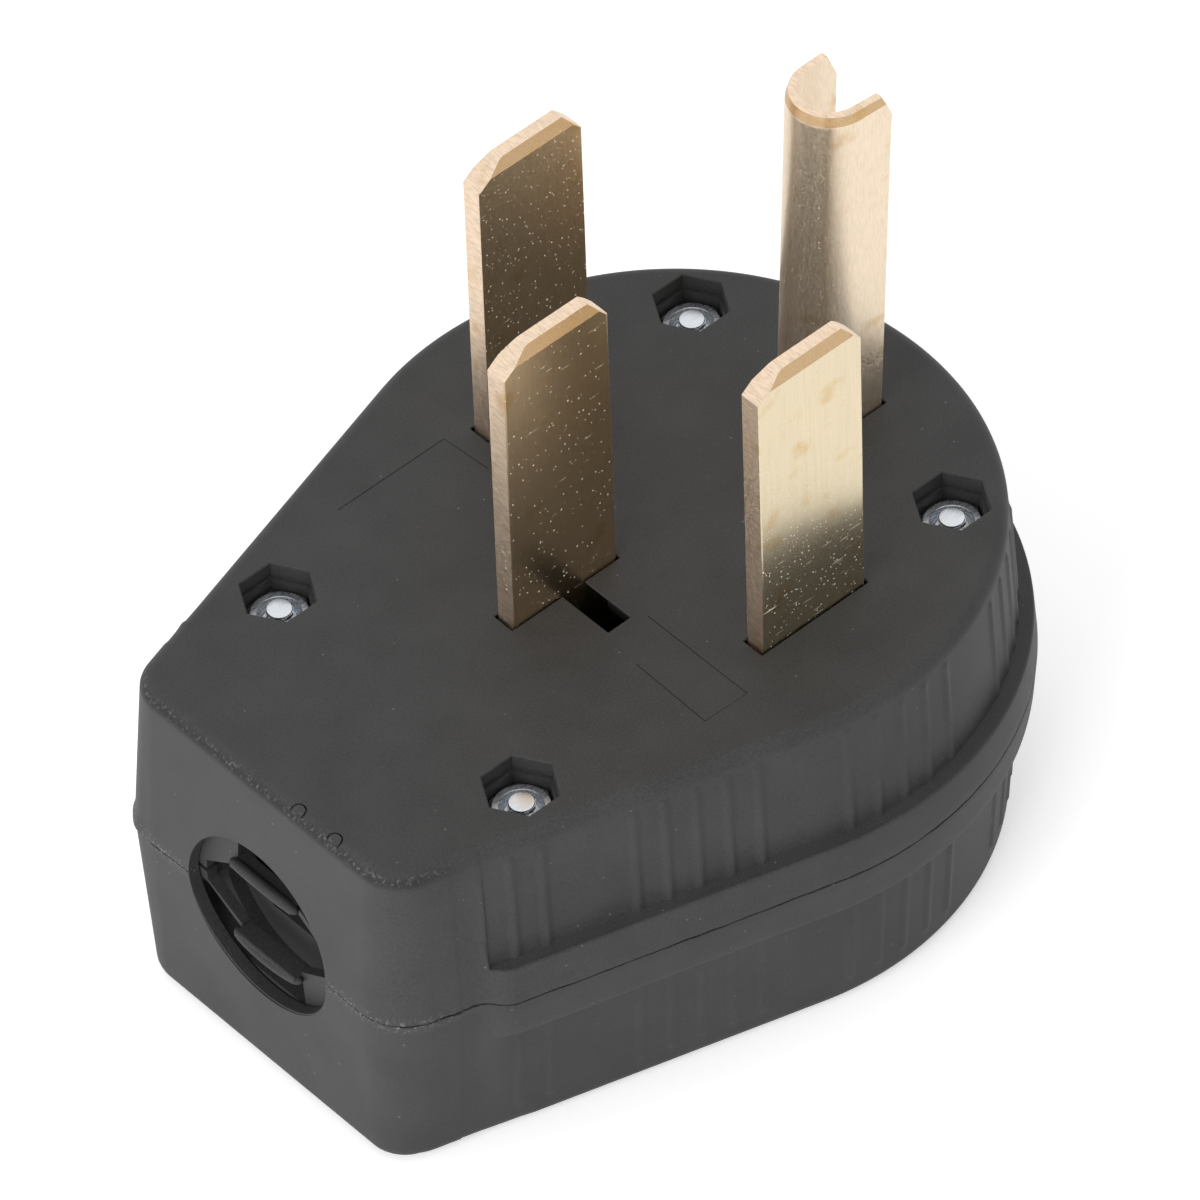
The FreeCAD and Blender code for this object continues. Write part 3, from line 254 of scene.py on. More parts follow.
def cover_surface(up):
    """Outer skin of one cover, as rows of points round the housing from the seam outwards.

    Each row offsets the seam's outline along its normals and sits at one height from the seam. The belt
    narrows with its draft up to a ledge, and the wall beyond it narrows with its own draft and carries the
    ribs. Quarter circles join the seam, the ledge, the wall and the flat. Where the belt has run out, the
    rows of the ledge spread out over the plain wall. The seam wanders up and down by a sum of noises.
    """
    size = housing()
    sign = 1 if up else -1
    high = FACE - SEAM if up else SEAM - BACK_LOW.z
    rise = size.belt_rise if up else size.belt_drop
    rim = size.face_round if up else size.back_round
    ledge_round = (0.3 if up else 0.5) * MM
    rib_proud = size.rib_proud if up else size.rib_proud_back
    rib_end = high - rim - 0.2 * MM if up else rise + 14.2 * MM
    reach = BELT_REACH - size.belt_proud
    points, normals, along, whole = outline(reach, CORD_END - BURR - BLOCK, size.corner, size.columns)
    (x, y), (out_x, out_y) = points.T, normals.T
    belt = swell(x)
    on_belt = belt / size.belt_proud
    # The block at the cord end stands proud, and its step shows as an upright line.
    block = BLOCK * ramp(x, -51.1 * MM, -51.25 * MM)
    # The seam wanders and gapes most where the belt begins, and sags by 0.5 mm at the left corner.
    at_corner = np.exp(-((x + 51.5 * MM) / (3.5 * MM)) ** 2)
    wander = (0.07 * unevenness(along, whole, 5 * MM, 1) + 0.05 * unevenness(along, whole, 1.1 * MM, 2)
              + at_corner * (0.16 * unevenness(along, whole, 1.6 * MM, 3)
                             + 0.06 * unevenness(along, whole, 0.4 * MM, 13))) * MM
    wander = wander - 0.5 * MM * ramp(y, 9 * MM, 18 * MM) * ramp(x, -44 * MM, -50 * MM)
    gap = size.seam_gap / 2 * (1 - 0.35 * (x < -57 * MM) + 0.6 * at_corner
                               + 0.45 * unevenness(along, whole, 1.7 * MM, 4)
                               + (0.4 + 0.3 * at_corner) * unevenness(along, whole, 0.6 * MM, 5 + up))
    seam = np.maximum(gap, 0.02 * MM) + sign * wander
    burr = BURR * np.clip(unevenness(along, whole, 0.5 * MM, 7 + up) * 2.2 - 1.2, 0, 1) * (1 - on_belt)
    ribs = rib_rise(along, whole, reach)
    # The ribs stand in a recess. Short of it the wall swells with the belt, less so towards the rim.
    recess = ramp(x, -size.recess_start, (0.25 if up else 3.5) * MM - size.recess_start)
    # The upright corner beside the left blade is fuller towards the seam and carries flash of the mould.
    turned_to = np.exp(-((1 - normals @ np.array([-0.757, 0.653])) / 0.08) ** 2)
    flash = (0.25 if up else 0) * MM * turned_to
    fuller = 0.38 * MM * turned_to
    # The back cover's cord face has less draft than its sides, and its wall beside the right corner more.
    beside = ramp(x, -43 * MM, -47 * MM) * ramp(-out_y, 0, 0.9)
    steep = 0 if up else MM * (0.55 * ramp(-out_x, np.where(out_y > 0, 0.3, 0.6), 1) - 0.33 * beside)

    def wall_at(height):
        """Offset of the wall with its ribs, which end in a short slope."""
        climb = height / high
        fade = ramp(height, rib_end, rib_end - 0.7 * MM)
        lip = flash * ramp(height, MM, 0.5 * MM) + fuller * (1 - climb) + steep * climb
        swollen = belt * (1 - recess) * (1 - (0.8 if up else 1) * climb)
        raised = recess * on_belt * (rib_proud * ribs * fade - 0.06 * MM)
        return block - height * DRAFT + raised + swollen + lip

    foot = wall_at(rise)
    ledge = np.maximum(belt - rise * BELT_DRAFT - foot, 0)
    turn = np.minimum(ledge_round, ledge * 0.5)
    hollow = np.minimum(0.06 * MM, ledge * 0.4)
    edge = 0.1 * MM
    quarter = np.linspace(0, math.pi / 2, 5)
    widest = np.maximum(belt, block)
    rows = [(widest - MM, 0.1 * MM)]
    rows += [(widest + flash + fuller - edge * (1 - math.sin(turned)) + burr * math.cos(turned),
              seam + edge * (1 - math.cos(turned))) for turned in quarter]
    shaped = len(rows)
    rows += [(np.maximum(belt - level * BELT_DRAFT, -level * DRAFT + block), level)
             for level in np.linspace(0.4 * MM, rise, 6)[1:-1]]
    rows += [(foot + ledge - turn * (1 - math.cos(turned)), rise - turn * (1 - math.sin(turned)))
             for turned in quarter]
    rows += [(foot + hollow * (1 - math.sin(turned)), rise + hollow * (1 - math.cos(turned)))
             for turned in quarter[::2]]
    ends = rib_end - np.array([0.7, 0.35, 0.0]) * MM
    levels = np.concatenate([rise + (ends[0] - rise) * np.array([0.1, 0.4, 0.7]), ends, [high - rim]])
    rows += [(wall_at(level), level) for level in levels]
    # Weight of the ledge: none where there is no step, all from a step of 0.15 mm.
    weight = ramp(ledge, 0, 0.15 * MM)
    spread = np.linspace(0.4 * MM, high - rim, len(rows) - shaped)
    rows[shaped:] = [(offset * weight + wall_at(level) * (1 - weight), height * weight + level * (1 - weight))
                     for (offset, height), level in zip(rows[shaped:], spread)]
    top_wall = rows[-1][0]
    rows += [(top_wall - rim * (1 - math.cos(turned)), high - rim * (1 - math.sin(turned)))
             for turned in np.linspace(0, math.pi / 2, 9)[1:]]
    offsets, heights = (np.stack([value + 0 * along for value in each]) for each in zip(*rows))
    flat = points[None] + normals[None] * offsets[..., None]
    surface = np.concatenate([flat, (SEAM + sign * heights)[..., None]], axis=-1)
    return surface if up else surface[::-1]


def cavity_surface(up):
    """Inside of one cover, drafted: the outline less the wall, from past the seam to the inner face."""
    size = housing()
    sign = 1 if up else -1
    deep = FACE_INSIDE - SEAM if up else SEAM - BACK_INSIDE
    reach = BELT_REACH - size.belt_proud - size.wall
    points, normals = outline(
        reach, CORD_END - size.cord_wall, size.corner - size.cord_wall, size.columns // 2)[:2]
    heights = np.array([-2 * MM, 0, deep / 2, deep])
    flat = points[None] - normals[None] * (np.maximum(heights, 0) * DRAFT)[:, None, None]
    tall = np.broadcast_to(SEAM + sign * heights[:, None, None], flat.shape[:2] + (1,))
    surface = np.concatenate([flat, tall], axis=-1)
    return surface if up else surface[::-1]


def grid_mesh(name, surface, closed=False):
    """Mesh of a grid of points whose rows each run round the piece, rows one above the other.

    Two faces close the ends, or the last row joins the first where closed is set.
    """
    rows, columns = surface.shape[:2]
    index = np.arange(rows * columns).reshape(rows, columns)
    low = index if closed else index[:-1]
    high = np.roll(index, -1, axis=0) if closed else index[1:]
    quads = np.stack([low, np.roll(low, -1, axis=1), np.roll(high, -1, axis=1), high], axis=-1).reshape(-1, 4)
    faces = quads.tolist()
    if not closed:
        faces += [index[0][::-1].tolist(), index[-1].tolist()]
    mesh = bpy.data.meshes.new(name)
    mesh.from_pydata(surface.reshape(-1, 3).tolist(), [], faces)
    mesh.update()
    return mesh


def read(items, name):
    """A place or direction of each vertex or face, as rows."""
    values = np.empty(len(items) * 3)
    items.foreach_get(name, values)
    return values.reshape(-1, 3)


def join_meshes(name, meshes):
    """One mesh of several that don't touch."""
    points, faces, start = [], [], 0
    for mesh in meshes:
        points.append(read(mesh.vertices, "co"))
        faces += [[start + corner for corner in face.vertices] for face in mesh.polygons]
        start += len(mesh.vertices)
        bpy.data.meshes.remove(mesh)
    joined = bpy.data.meshes.new(name)
    joined.from_pydata(np.concatenate(points).tolist(), [], faces)
    joined.update()
    return joined


def at_level(flat, level):
    """Flat outline as points in space, at one level or at one for each point."""
    return np.column_stack([flat, np.broadcast_to(level, len(flat))])


def ring(x, y, level, radius, count=48):
    """Round of points about a centre, a circle where the radius and level are the same all round."""
    turn = np.arange(count) * 2 * math.pi / count
    return at_level(np.column_stack([x + radius * np.cos(turn), y + radius * np.sin(turn)]), level)


def hexagon_radius(across, count=48):
    """Radius of a hexagon at equal turns, with a corner towards +X, by its width across the flats."""
    turn = np.arange(count) * 2 * math.pi / count
    return across / 2 / np.cos(turn % (math.pi / 3) - math.pi / 6)


def tower(name, *rings):
    """Solid through rings of points, first ring to last."""
    return grid_mesh(name, np.stack(rings))


def block(across, along, upright):
    """Plain block from one place to another on each axis, as two rings of four corners."""
    (x_low, x_high), (y_low, y_high), (z_low, z_high) = (sorted(pair) for pair in (across, along, upright))
    corners = np.array([(x_low, y_low), (x_high, y_low), (x_high, y_high), (x_low, y_high)])
    return tower("block", at_level(corners, z_low), at_level(corners, z_high))


def widen(corners, by):
    """Outline moved outwards by a distance, each corner along its mitre."""
    before, after = corners - np.roll(corners, 1, axis=0), np.roll(corners, -1, axis=0) - corners
    before /= np.linalg.norm(before, axis=1, keepdims=True)
    after /= np.linalg.norm(after, axis=1, keepdims=True)
    out = np.stack([before[:, 1] + after[:, 1], -before[:, 0] - after[:, 0]], axis=-1)
    return corners + out * by / (1 + (before * after).sum(axis=1, keepdims=True))


def slot_cutter(corners):
    """Cutter for an opening in the face, with a small flare at its mouth and undercut below a thin lip."""
    low, lip, under, flare = FACE - 5 * MM, 0.3 * MM, 1.6 * MM, 0.1 * MM
    levels = (
        (low, under), (FACE - lip - under, under), (FACE - lip, 0.0), (FACE - flare, 0.0), (FACE, flare),
        (FACE + MM, flare))
    return tower("slot", *(at_level(widen(corners, by), level) for level, by in levels))


def ribbon(points, width):
    """Outline of a line of a given width through points."""
    points = np.array(points, float)
    run = np.gradient(points, axis=0)
    run /= np.linalg.norm(run, axis=1, keepdims=True)
    side = np.stack([-run[:, 1], run[:, 0]], axis=-1) * width / 2
    return np.concatenate([points - side, (points + side)[::-1]])


def link(name, data):
    """Adds an object to the scene."""
    made = bpy.data.objects.new(name, data)
    bpy.context.scene.collection.objects.link(made)
    return made


def apply_boolean(piece, operation, mesh):
    """Joins a mesh to a piece or cuts it out of the piece, for good."""
    tool = link("tool", mesh)
    modifier = piece.modifiers.new(operation, "BOOLEAN")
    modifier.operation = operation
    modifier.solver = "MANIFOLD"
    modifier.object = tool
    bpy.context.view_layer.update()
    result = bpy.data.meshes.new_from_object(piece.evaluated_get(bpy.context.evaluated_depsgraph_get()))
    piece.modifiers.clear()
    old = piece.data
    piece.data = result
    bpy.data.meshes.remove(old)
    bpy.data.objects.remove(tool)
    bpy.data.meshes.remove(mesh)
    if not len(result.polygons):
        raise RuntimeError(f"{operation} left nothing of {piece.name}")


def worked_mesh(name, mesh, *steps):
    """Mesh after its steps, each a Boolean's operation and the mesh that is joined or cut out."""
    piece = link(name, mesh)
    for operation, tool in steps:
        apply_boolean(piece, operation, tool)
    mesh = piece.data
    bpy.data.objects.remove(piece)
    return mesh


def add_piece(name, mesh, material, slot, *nodes):
    """Links a finished mesh as a piece that rides on the part and stands for its nodes."""
    piece = link(name, mesh)
    dress(piece, material)
    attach(piece, BODY)
    if nodes:
        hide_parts(*nodes)
    return piece


def dress(piece, *materials):
    """Gives a piece its materials."""
    piece.data.materials.clear()
    for material in materials:
        piece.data.materials.append(material)


def smooth(piece, angle=30):
    """Shades a piece smooth, with edges sharper than the angle kept crisp."""
    piece.data.polygons.foreach_set("use_smooth", np.ones(len(piece.data.polygons), bool))
    piece.data.set_sharp_from_angle(angle=math.radians(angle))


def paint(piece, *materials, second, third):
    """Gives a piece three materials: the first all over but for the faces where second or third is true."""
    dress(piece, *materials)
    piece.data.polygons.foreach_set("material_index", np.where(third, 2, second).astype(np.int32))


def scuff(piece):
    """Marks the nylon at the cord end: rubbed pale near the seam and the face's rim, and painted shade on the
    rim's rounding, a darker base colour there.

    Each mark is a bell curve of the height about its level, times a ramp along X.
    """
    places = read(piece.data.vertices, "co")
    level = places[:, 2]
    near_seam = np.exp(-((level - SEAM) / (0.45 * MM)) ** 2)
    near_rim = 0.5 * np.exp(-((level - FACE + 0.6 * MM) / (0.3 * MM)) ** 2)
    # Painted shade on the rim's rounding: a bell curve 0.8 mm below the face, which darkens the nylon's base
    # colour.
    rounding = np.clip(np.exp(-((level - FACE + 0.8 * MM) / (0.5 * MM)) ** 2) - 0.08, 0, 1)
    for name, values in (("scuffed", np.maximum(near_seam, near_rim)), ("rim_painted_shade", rounding)):
        mark = piece.data.attributes.new(name, "FLOAT", "POINT")
        mark.data.foreach_set("value", (values * ramp(places[:, 0], -50 * MM, -54 * MM)).astype(np.float32))


def weigh_normals(piece):
    """Keeps large flats flat beside small curved faces."""
    modifier = piece.modifiers.new("Weighted normals", "WEIGHTED_NORMAL")
    modifier.keep_sharp = True
    modifier.weight = 100


def hole_cutter():
    """Cutter for the cord hole: a tube along X that opens out by a small flare at the drafted face."""
    size = housing()
    turn = np.arange(96) * 2 * math.pi / 96
    flare = 0.1 * MM
    face_x = -CORD_END + np.abs(size.cord_hole * np.sin(turn)) * DRAFT
    rows = []
    for depth, opening in ((-MM, flare), (0, flare), (flare, 0), (4 * MM, 0)):
        radius = size.cord_hole + opening
        rows.append(np.column_stack([face_x + depth, radius * np.cos(turn), SEAM + radius * np.sin(turn)]))
    return tower("cord_hole", *rows)


def screw_cutter(x, y, up):
    """Cutter for a screw's bore and, at the outer end, its nut pocket or the well of its head."""
    past, bore = MM, 1.7 * MM
    if up:
        flare, step, snug, pocket = 0.12 * MM, FACE - 2.1 * MM, 6.85 * MM, 7.5 * MM
        mouth = pocket + 2 * flare
        return tower("screw_way", ring(x, y, SEAM - past, bore), ring(x, y, NUT_SEAT, bore), *(
            ring(x, y, level, hexagon_radius(across)) for level, across in (
                (NUT_SEAT, snug), (step, snug), (step, pocket), (FACE - flare, pocket), (FACE, mouth),
                (FACE + past, mouth))))
    well, flare = 3.3 * MM, 0.3 * MM
    return tower("screw_way", *(ring(x, y, level, radius) for level, radius in (
        (BACK_LOW.z - past, well + flare), (BACK_LOW.z, well + flare), (BACK_LOW.z + flare, well),
        (HEAD_SEAT, well), (HEAD_SEAT, bore), (SEAM + past, bore))))


def horseshoe(centre, leg, radius, bend_count=24, leg_count=1):
    """Half circle about centre on the X axis and two legs, from the lower leg's end to the upper one's."""
    turn = np.linspace(-math.pi / 2, -3 * math.pi / 2, bend_count)
    bend = np.column_stack([centre + radius * np.cos(turn), radius * np.sin(turn)])
    along = np.linspace(1, 0, leg_count + 1)[:-1]
    lower = np.column_stack([centre + leg * along, np.full(leg_count, -radius)])
    return np.concatenate([lower, bend, lower[::-1] * (1, -1)])


def build_cover(up):
    """One cover: skin less its inside, plus its posts and ribs, less the ways through it."""
    name, node = ("front_cover_skin", "front_cover") if up else ("back_cover_skin", "back_cover")
    inner, out = (FACE_INSIDE, MM) if up else (BACK_INSIDE, -MM)
    low, high = sorted((SEAM, inner + out))
    post = 4.6 * MM
    posts = [tower("post", ring(x, y, low, post), ring(x, y, high, post)) for x, y in SCREW_PLACES]
    # Two rails beside the cord grip, 6 mm tall, and a stop behind it.
    depth = (inner - 6 * out, inner + out)
    posts += [block((-57.3 * MM, -44.8 * MM), (side * 14.25 * MM, side * 16.25 * MM), depth)
              for side in (-1, 1)]
    posts.append(block((-44.55 * MM, -42.55 * MM), (-7 * MM, 7 * MM), depth))
    posts += seat_ribs() if up else hold_ribs()
    ways = [screw_cutter(x, y, up) for x, y in SCREW_PLACES] + [hole_cutter()]
    if up:
        ways += face_cutters()
    mesh = worked_mesh(
        name, grid_mesh(name, cover_surface(up)), ("DIFFERENCE", grid_mesh("inside", cavity_surface(up))),
        ("UNION", join_meshes("posts", posts)), ("DIFFERENCE", join_meshes("ways", ways)))
    cover = add_piece(name, mesh, nylon_material(), "moulded_nylon", node)
    # Pale scuffs, and painted shade on the rim's rounding at the cord end.
    scuff(cover)
    smooth(cover, 32)
    weigh_normals(cover)
    return cover


def seat_ribs():
    """Ribs under the face that the blades' feet and the ground pin's plate seat on, two to each."""
    depth = (35.6 * MM, FACE - 3 * MM)
    # A foot's ribs run from its bend to its end, one near each of its edges.
    bend, end, inside, outside = 2.3 * MM, 11.9 * MM, 4.6 * MM, 7.2 * MM
    ribs = [block((x + edge * inside, x + edge * outside), (y + side * bend, y + side * end), depth)
            for _, x, y, side in BLADES for edge in (-1, 1)]
    plate = (6.6 * MM, 16.85 * MM)
    return ribs + [block(plate, (edge * 3.2 * MM, edge * 5.8 * MM), depth) for edge in (-1, 1)]


def hold_ribs():
    """Ribs on the back that hold the feet beside their bends, and one for the ground pin's plate."""
    depth, half, near, far = (2 * MM, 33 * MM), 5.5 * MM, 2.1 * MM, 4.1 * MM
    ribs = [block((x - half, x + half), (y + side * near, y + side * far), depth) for _, x, y, side in BLADES]
    return ribs + [block((16.8 * MM, 18.8 * MM), (-half, half), depth)]


def face_cutters():
    """Slots of the blades and the ground pin, witness lines of the mould's inserts, and its gate marks."""
    # Half the width and half the thickness of a blade's slot, and the spare slot's two long sides and end.
    wide, thick = 7.6 * MM, 1.42 * MM
    near, far, end = -16.95 * MM, -13.75 * MM, -9.2 * MM
    outlines = []
    for node, x, y, _ in BLADES:
        left, right, bottom, top = x - wide, x + wide, y - thick, y + thick
        spare = [(near, bottom), (near, end), (far, end), (far, bottom)] if node == "neutral_blade" else []
        outlines.append(np.array([(left, top), (left, bottom)] + spare + [(right, bottom), (right, top)]))
    outer, inner = (horseshoe(22 * MM, 4.8 * MM, radius * MM) for radius in (4.95, 3.35))
    outlines.append(np.concatenate([outer[::-1], inner]))
    cutters = [slot_cutter(corners) for corners in outlines]
    lines = (
        ((-25.6, 23.4), (-10.65, 23.4), (-10.2, 16.9)),
        ((-17.9, -14.6), (-18.2, -25.4), (-12.4, -25.6), (-12.4, -10.4)),
    )
    for line in lines:
        corners = ribbon(np.array(line) * MM, 0.13 * MM)
        cutters.append(tower("line", at_level(corners, FACE - 0.09 * MM), at_level(corners, FACE + MM)))
    # Marks of the mould's two gates, on the rim over the cord hole: grooves between two radii.
    deep, outer, inner = FACE - 0.45 * MM, 0.95 * MM, 0.75 * MM
    for y in (-5.6 * MM, -11.2 * MM):
        groove = [ring(-56.9 * MM, y, level, radius) for level, radius in (
            (deep, outer), (FACE + MM, outer), (FACE + MM, inner), (deep, inner))]
        cutters.append(grid_mesh("gate", np.stack(groove), closed=True))
    return cutters


def blade_surface(node, side):
    """Blade as rings round its section, from the end of its foot, round its bend and up to its tip.

    Each ring is a flat oval: the front and back at half the thickness, the edges rounded. Along the foot and
    the bend the ring is turned about X. Near the tip the edges run in along the corner cuts, the near one
    round an arc into the top, and both faces slant in over the height of the bevel.
    """
    size = blade_sizes()
    low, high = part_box(node)
    x_middle = (low.x + high.x) / 2
    y_outer = high.y if side < 0 else low.y
    half, edge = size.thick / 2, size.edge
    y_middle = y_outer + side * half
    top = high.z
    middle_radius = size.bend + half
    foot_level = low.z + half
    across = np.linspace(-1, 1, 13)
    corner = np.linspace(-math.pi / 2, math.pi / 2, 7)[1:-1]

    def section(left, right, thick):
        """Ring of (across, through) pairs between two edges: two flats and two rounded edges."""
        x = (left + right) / 2 + across * ((right - left) / 2 - edge)
        through = np.sign(corner) * (thick - edge) + edge * np.sin(corner)
        cap = np.column_stack([edge * np.cos(corner), through])
        return np.concatenate([np.column_stack([x, np.full(len(x), -thick)]), cap + (right - edge, 0),
                               np.column_stack([x[::-1], np.full(len(x), thick)]), (left + edge, 0) - cap])

    wide = size.width / 2
    plain = section(-wide, wide, half)
    rings = []
    foot_end = high.y if side > 0 else low.y
    bend_y = y_middle + side * middle_radius
    for run in np.linspace(0, abs(foot_end - bend_y), 5)[:-1]:
        y = np.full(len(plain), foot_end - side * run)
        rings.append(np.column_stack([x_middle + plain[:, 0], y, foot_level - plain[:, 1]]))
    radius = middle_radius + plain[:, 1]
    for angle in np.linspace(0, math.pi / 2, 13):
        rings.append(np.column_stack([
            x_middle + plain[:, 0], bend_y - side * radius * math.sin(angle),
            foot_level + middle_radius - radius * math.cos(angle)]))
    shoulder = top - size.tip_drop
    slant = math.atan2(size.tip_drop, size.tip_near)
    round_start = top - size.tip_round * (1 - math.cos(slant))
    round_middle = -wide + size.tip_near + size.tip_round * math.tan(slant / 2)
    levels = np.concatenate([
        np.linspace(foot_level + middle_radius, shoulder, 10)[1:],
        np.linspace(shoulder, top - size.bevel_drop, 6)[1:],
        np.linspace(top - size.bevel_drop, round_start, 6)[1:],
        top - size.tip_round * (1 - np.cos(np.linspace(slant, 0, 8)[1:]))])
    for level in levels:
        climb = ramp(level, shoulder, top)
        left = -wide + size.tip_near * climb
        if level > round_start:
            left = round_middle - math.sqrt(max(size.tip_round ** 2 - (level - top + size.tip_round) ** 2, 0))
        right = wide - size.tip_far * climb
        shape = section(left, right, half - size.bevel * ramp(level, top - size.bevel_drop, top))
        rings.append(at_level(shape * (1, -side) + (x_middle, y_middle), level))
    surface = np.stack(rings)
    return surface if side < 0 else surface[:, ::-1]


def pin_surface():
    """Ground pin as rings round its U section, from the root to the rim.

    The section's middle line is a half circle with two straight legs. The ring runs along its outer side and
    back along its inner side. Near the rim the legs shorten along the slanting cut, the outer side steps in
    by the bevel, and the leg at the right opens out a little.
    """
    size = blade_sizes()
    low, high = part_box("ground_pin")
    radius = size.pin_width / 2
    centre = low.x + radius
    top = high.z
    edge = 0.12 * MM
    levels = np.concatenate([np.linspace(low.z, top - 6 * MM, 20), np.linspace(top - 6 * MM, top, 32)[1:]])
    rings = []
    for level in levels:
        bevel = size.pin_bevel * ramp(level, top - size.pin_bevel_drop, top)
        end = size.pin_leg - size.pin_cut * ramp(level, top - size.pin_cut_drop, top)
        outside, inside = radius - bevel, radius - size.pin_sheet
        outer, inner = (horseshoe(centre, end - edge, reach, 40, 8) for reach in (outside, inside))
        upper_cap = np.column_stack([np.full(3, centre + end), np.linspace(outside - edge, inside + edge, 3)])
        flat = np.concatenate([outer, upper_cap, inner[::-1], (upper_cap * (1, -1))[::-1]])
        flare = ramp(level, top - 7 * MM, top) ** 2 * 0.35 * MM
        flat[:, 1] -= np.where(flat[:, 1] < 0, flare * ramp(flat[:, 0], centre, centre + size.pin_leg), 0)
        flat += np.maximum(level - FACE, 0) * np.array([size.pin_lean, -size.pin_lean])
        rings.append(at_level(flat, level))
    return np.stack(rings)[:, ::-1]


def grip_bar_surface(side):
    """Bar of a cord grip's jaw as rings round its section, from the left to the right.

    The middle line bows away from the cord and backwards, and the oval section shrinks at both ends.
    """
    front, above_seam, half_length, half_thick, half_tall = np.array([-57.5, 5.45, 5.3, 0.7, 0.55]) * MM
    across = np.linspace(-1, 1, 41)[:, None]
    turn = np.arange(24) * 2 * math.pi / 24
    bow = 0.3 * MM * (1 - across ** 2)
    swelling = np.sqrt(np.clip(1 - np.abs(across) ** 10, 0.02, 1))
    x = front - bow + half_thick * swelling * np.cos(turn)
    z = SEAM + side * (above_seam + bow) + half_tall * swelling * np.sin(turn)
    return np.stack([x, np.broadcast_to(-half_length * across, x.shape), z], axis=-1)


def nut_surface(x, y, low, high):
    """Nut as one closed ring: bore, chamfered thread mouths, flats, and corners turned off at 30 degrees.

    The outer radius at a turn is the hexagon's, but no more than the turned cone's at that height.
    """
    across, bore, columns = 6.35 * MM, 1.5 * MM, 96
    flat = hexagon_radius(across, columns)
    mouth, cone = bore + 0.95 * MM, across / 2 - 0.08 * MM
    tall = high - low
    inside = [(bore, 1.15 * MM), (bore + 0.42 * MM, 1.1 * MM), (mouth - 0.09 * MM, 0.09 * MM), (mouth, 0.0)]
    outside = [(cone + step, step * math.tan(math.radians(30))) for step in np.linspace(0, 0.62, 5) * MM]
    rows = inside + [(np.minimum(radius, flat), height) for radius, height in outside]
    rows += [(radius, tall - height) for radius, height in rows[::-1]]
    return np.stack([ring(x, y, low + height, radius, columns) for radius, height in rows])


def screw_surface(x, y, low, high, radius, head, head_height, pitch):
    """Screw from the middle of its head to its flat end, with thread ridges.

    The ridge height is a triangle wave of the turn and the height together, so that it winds up the shank.
    """
    columns, crown = 48, 0.14 * MM
    turn = np.arange(columns) / columns
    profile = [(head * 0.55, 0.0), (head * 0.8, 0.04 * MM), (head * 0.93, 0.25 * MM), (head, 0.7 * MM),
               (head, head_height), (radius, head_height)]
    rows = [(wide, low + height) for wide, height in profile]
    steps = int((high - low - head_height - crown) / (pitch / 4))
    for level in np.linspace(low + head_height + pitch / 4, high - crown, steps):
        phase = (level / pitch - turn) % 1
        rows.append((radius - 0.22 * pitch * (1 - np.abs(2 * phase - 1)) * 2, level))
    rows += [(radius - 0.06 * MM - crown * (1 - math.cos(bend)), high - crown * (1 - math.sin(bend)))
             for bend in np.linspace(0, math.pi / 2, 5)]
    return np.stack([ring(x, y, level, wide, columns) for wide, level in rows])


def add_node(tree, kind, inputs=(), out=0, **settings):
    """Adds a shader node with its settings, and returns one of its outputs.

    The inputs come by name, or as a row in the node's own order. Each is a value or another node's output.
    """
    node = tree.nodes.new("ShaderNode" + kind)
    for name, value in settings.items():
        setattr(node, name, value)
    for name, value in inputs.items() if isinstance(inputs, dict) else enumerate(inputs):
        if isinstance(value, bpy.types.NodeSocket):
            tree.links.new(value, node.inputs[name])
        else:
            node.inputs[name].default_value = value
    return node.outputs[out] if len(node.outputs) else None


def new_material(name):
    """The material of that name, with its tree and principled shader where it is new."""
    material = bpy.data.materials.get(name)
    if material:
        return material, None, None
    material = bpy.data.materials.new(name)
    material.use_nodes = True
    tree = material.node_tree
    tree.nodes.clear()
    surface = add_node(tree, "BsdfPrincipled")
    add_node(tree, "OutputMaterial", (surface,))
    return material, tree, surface.node


def wire(tree, shader, **sockets):
    """Links patterns to the shader, each by its input's name in small letters."""
    for name, socket in sockets.items():
        tree.links.new(socket, shader.inputs[name.replace("_", " ").title()])


def solid(values):
    """Colour with full alpha."""
    return tuple(values) + (1.0,)


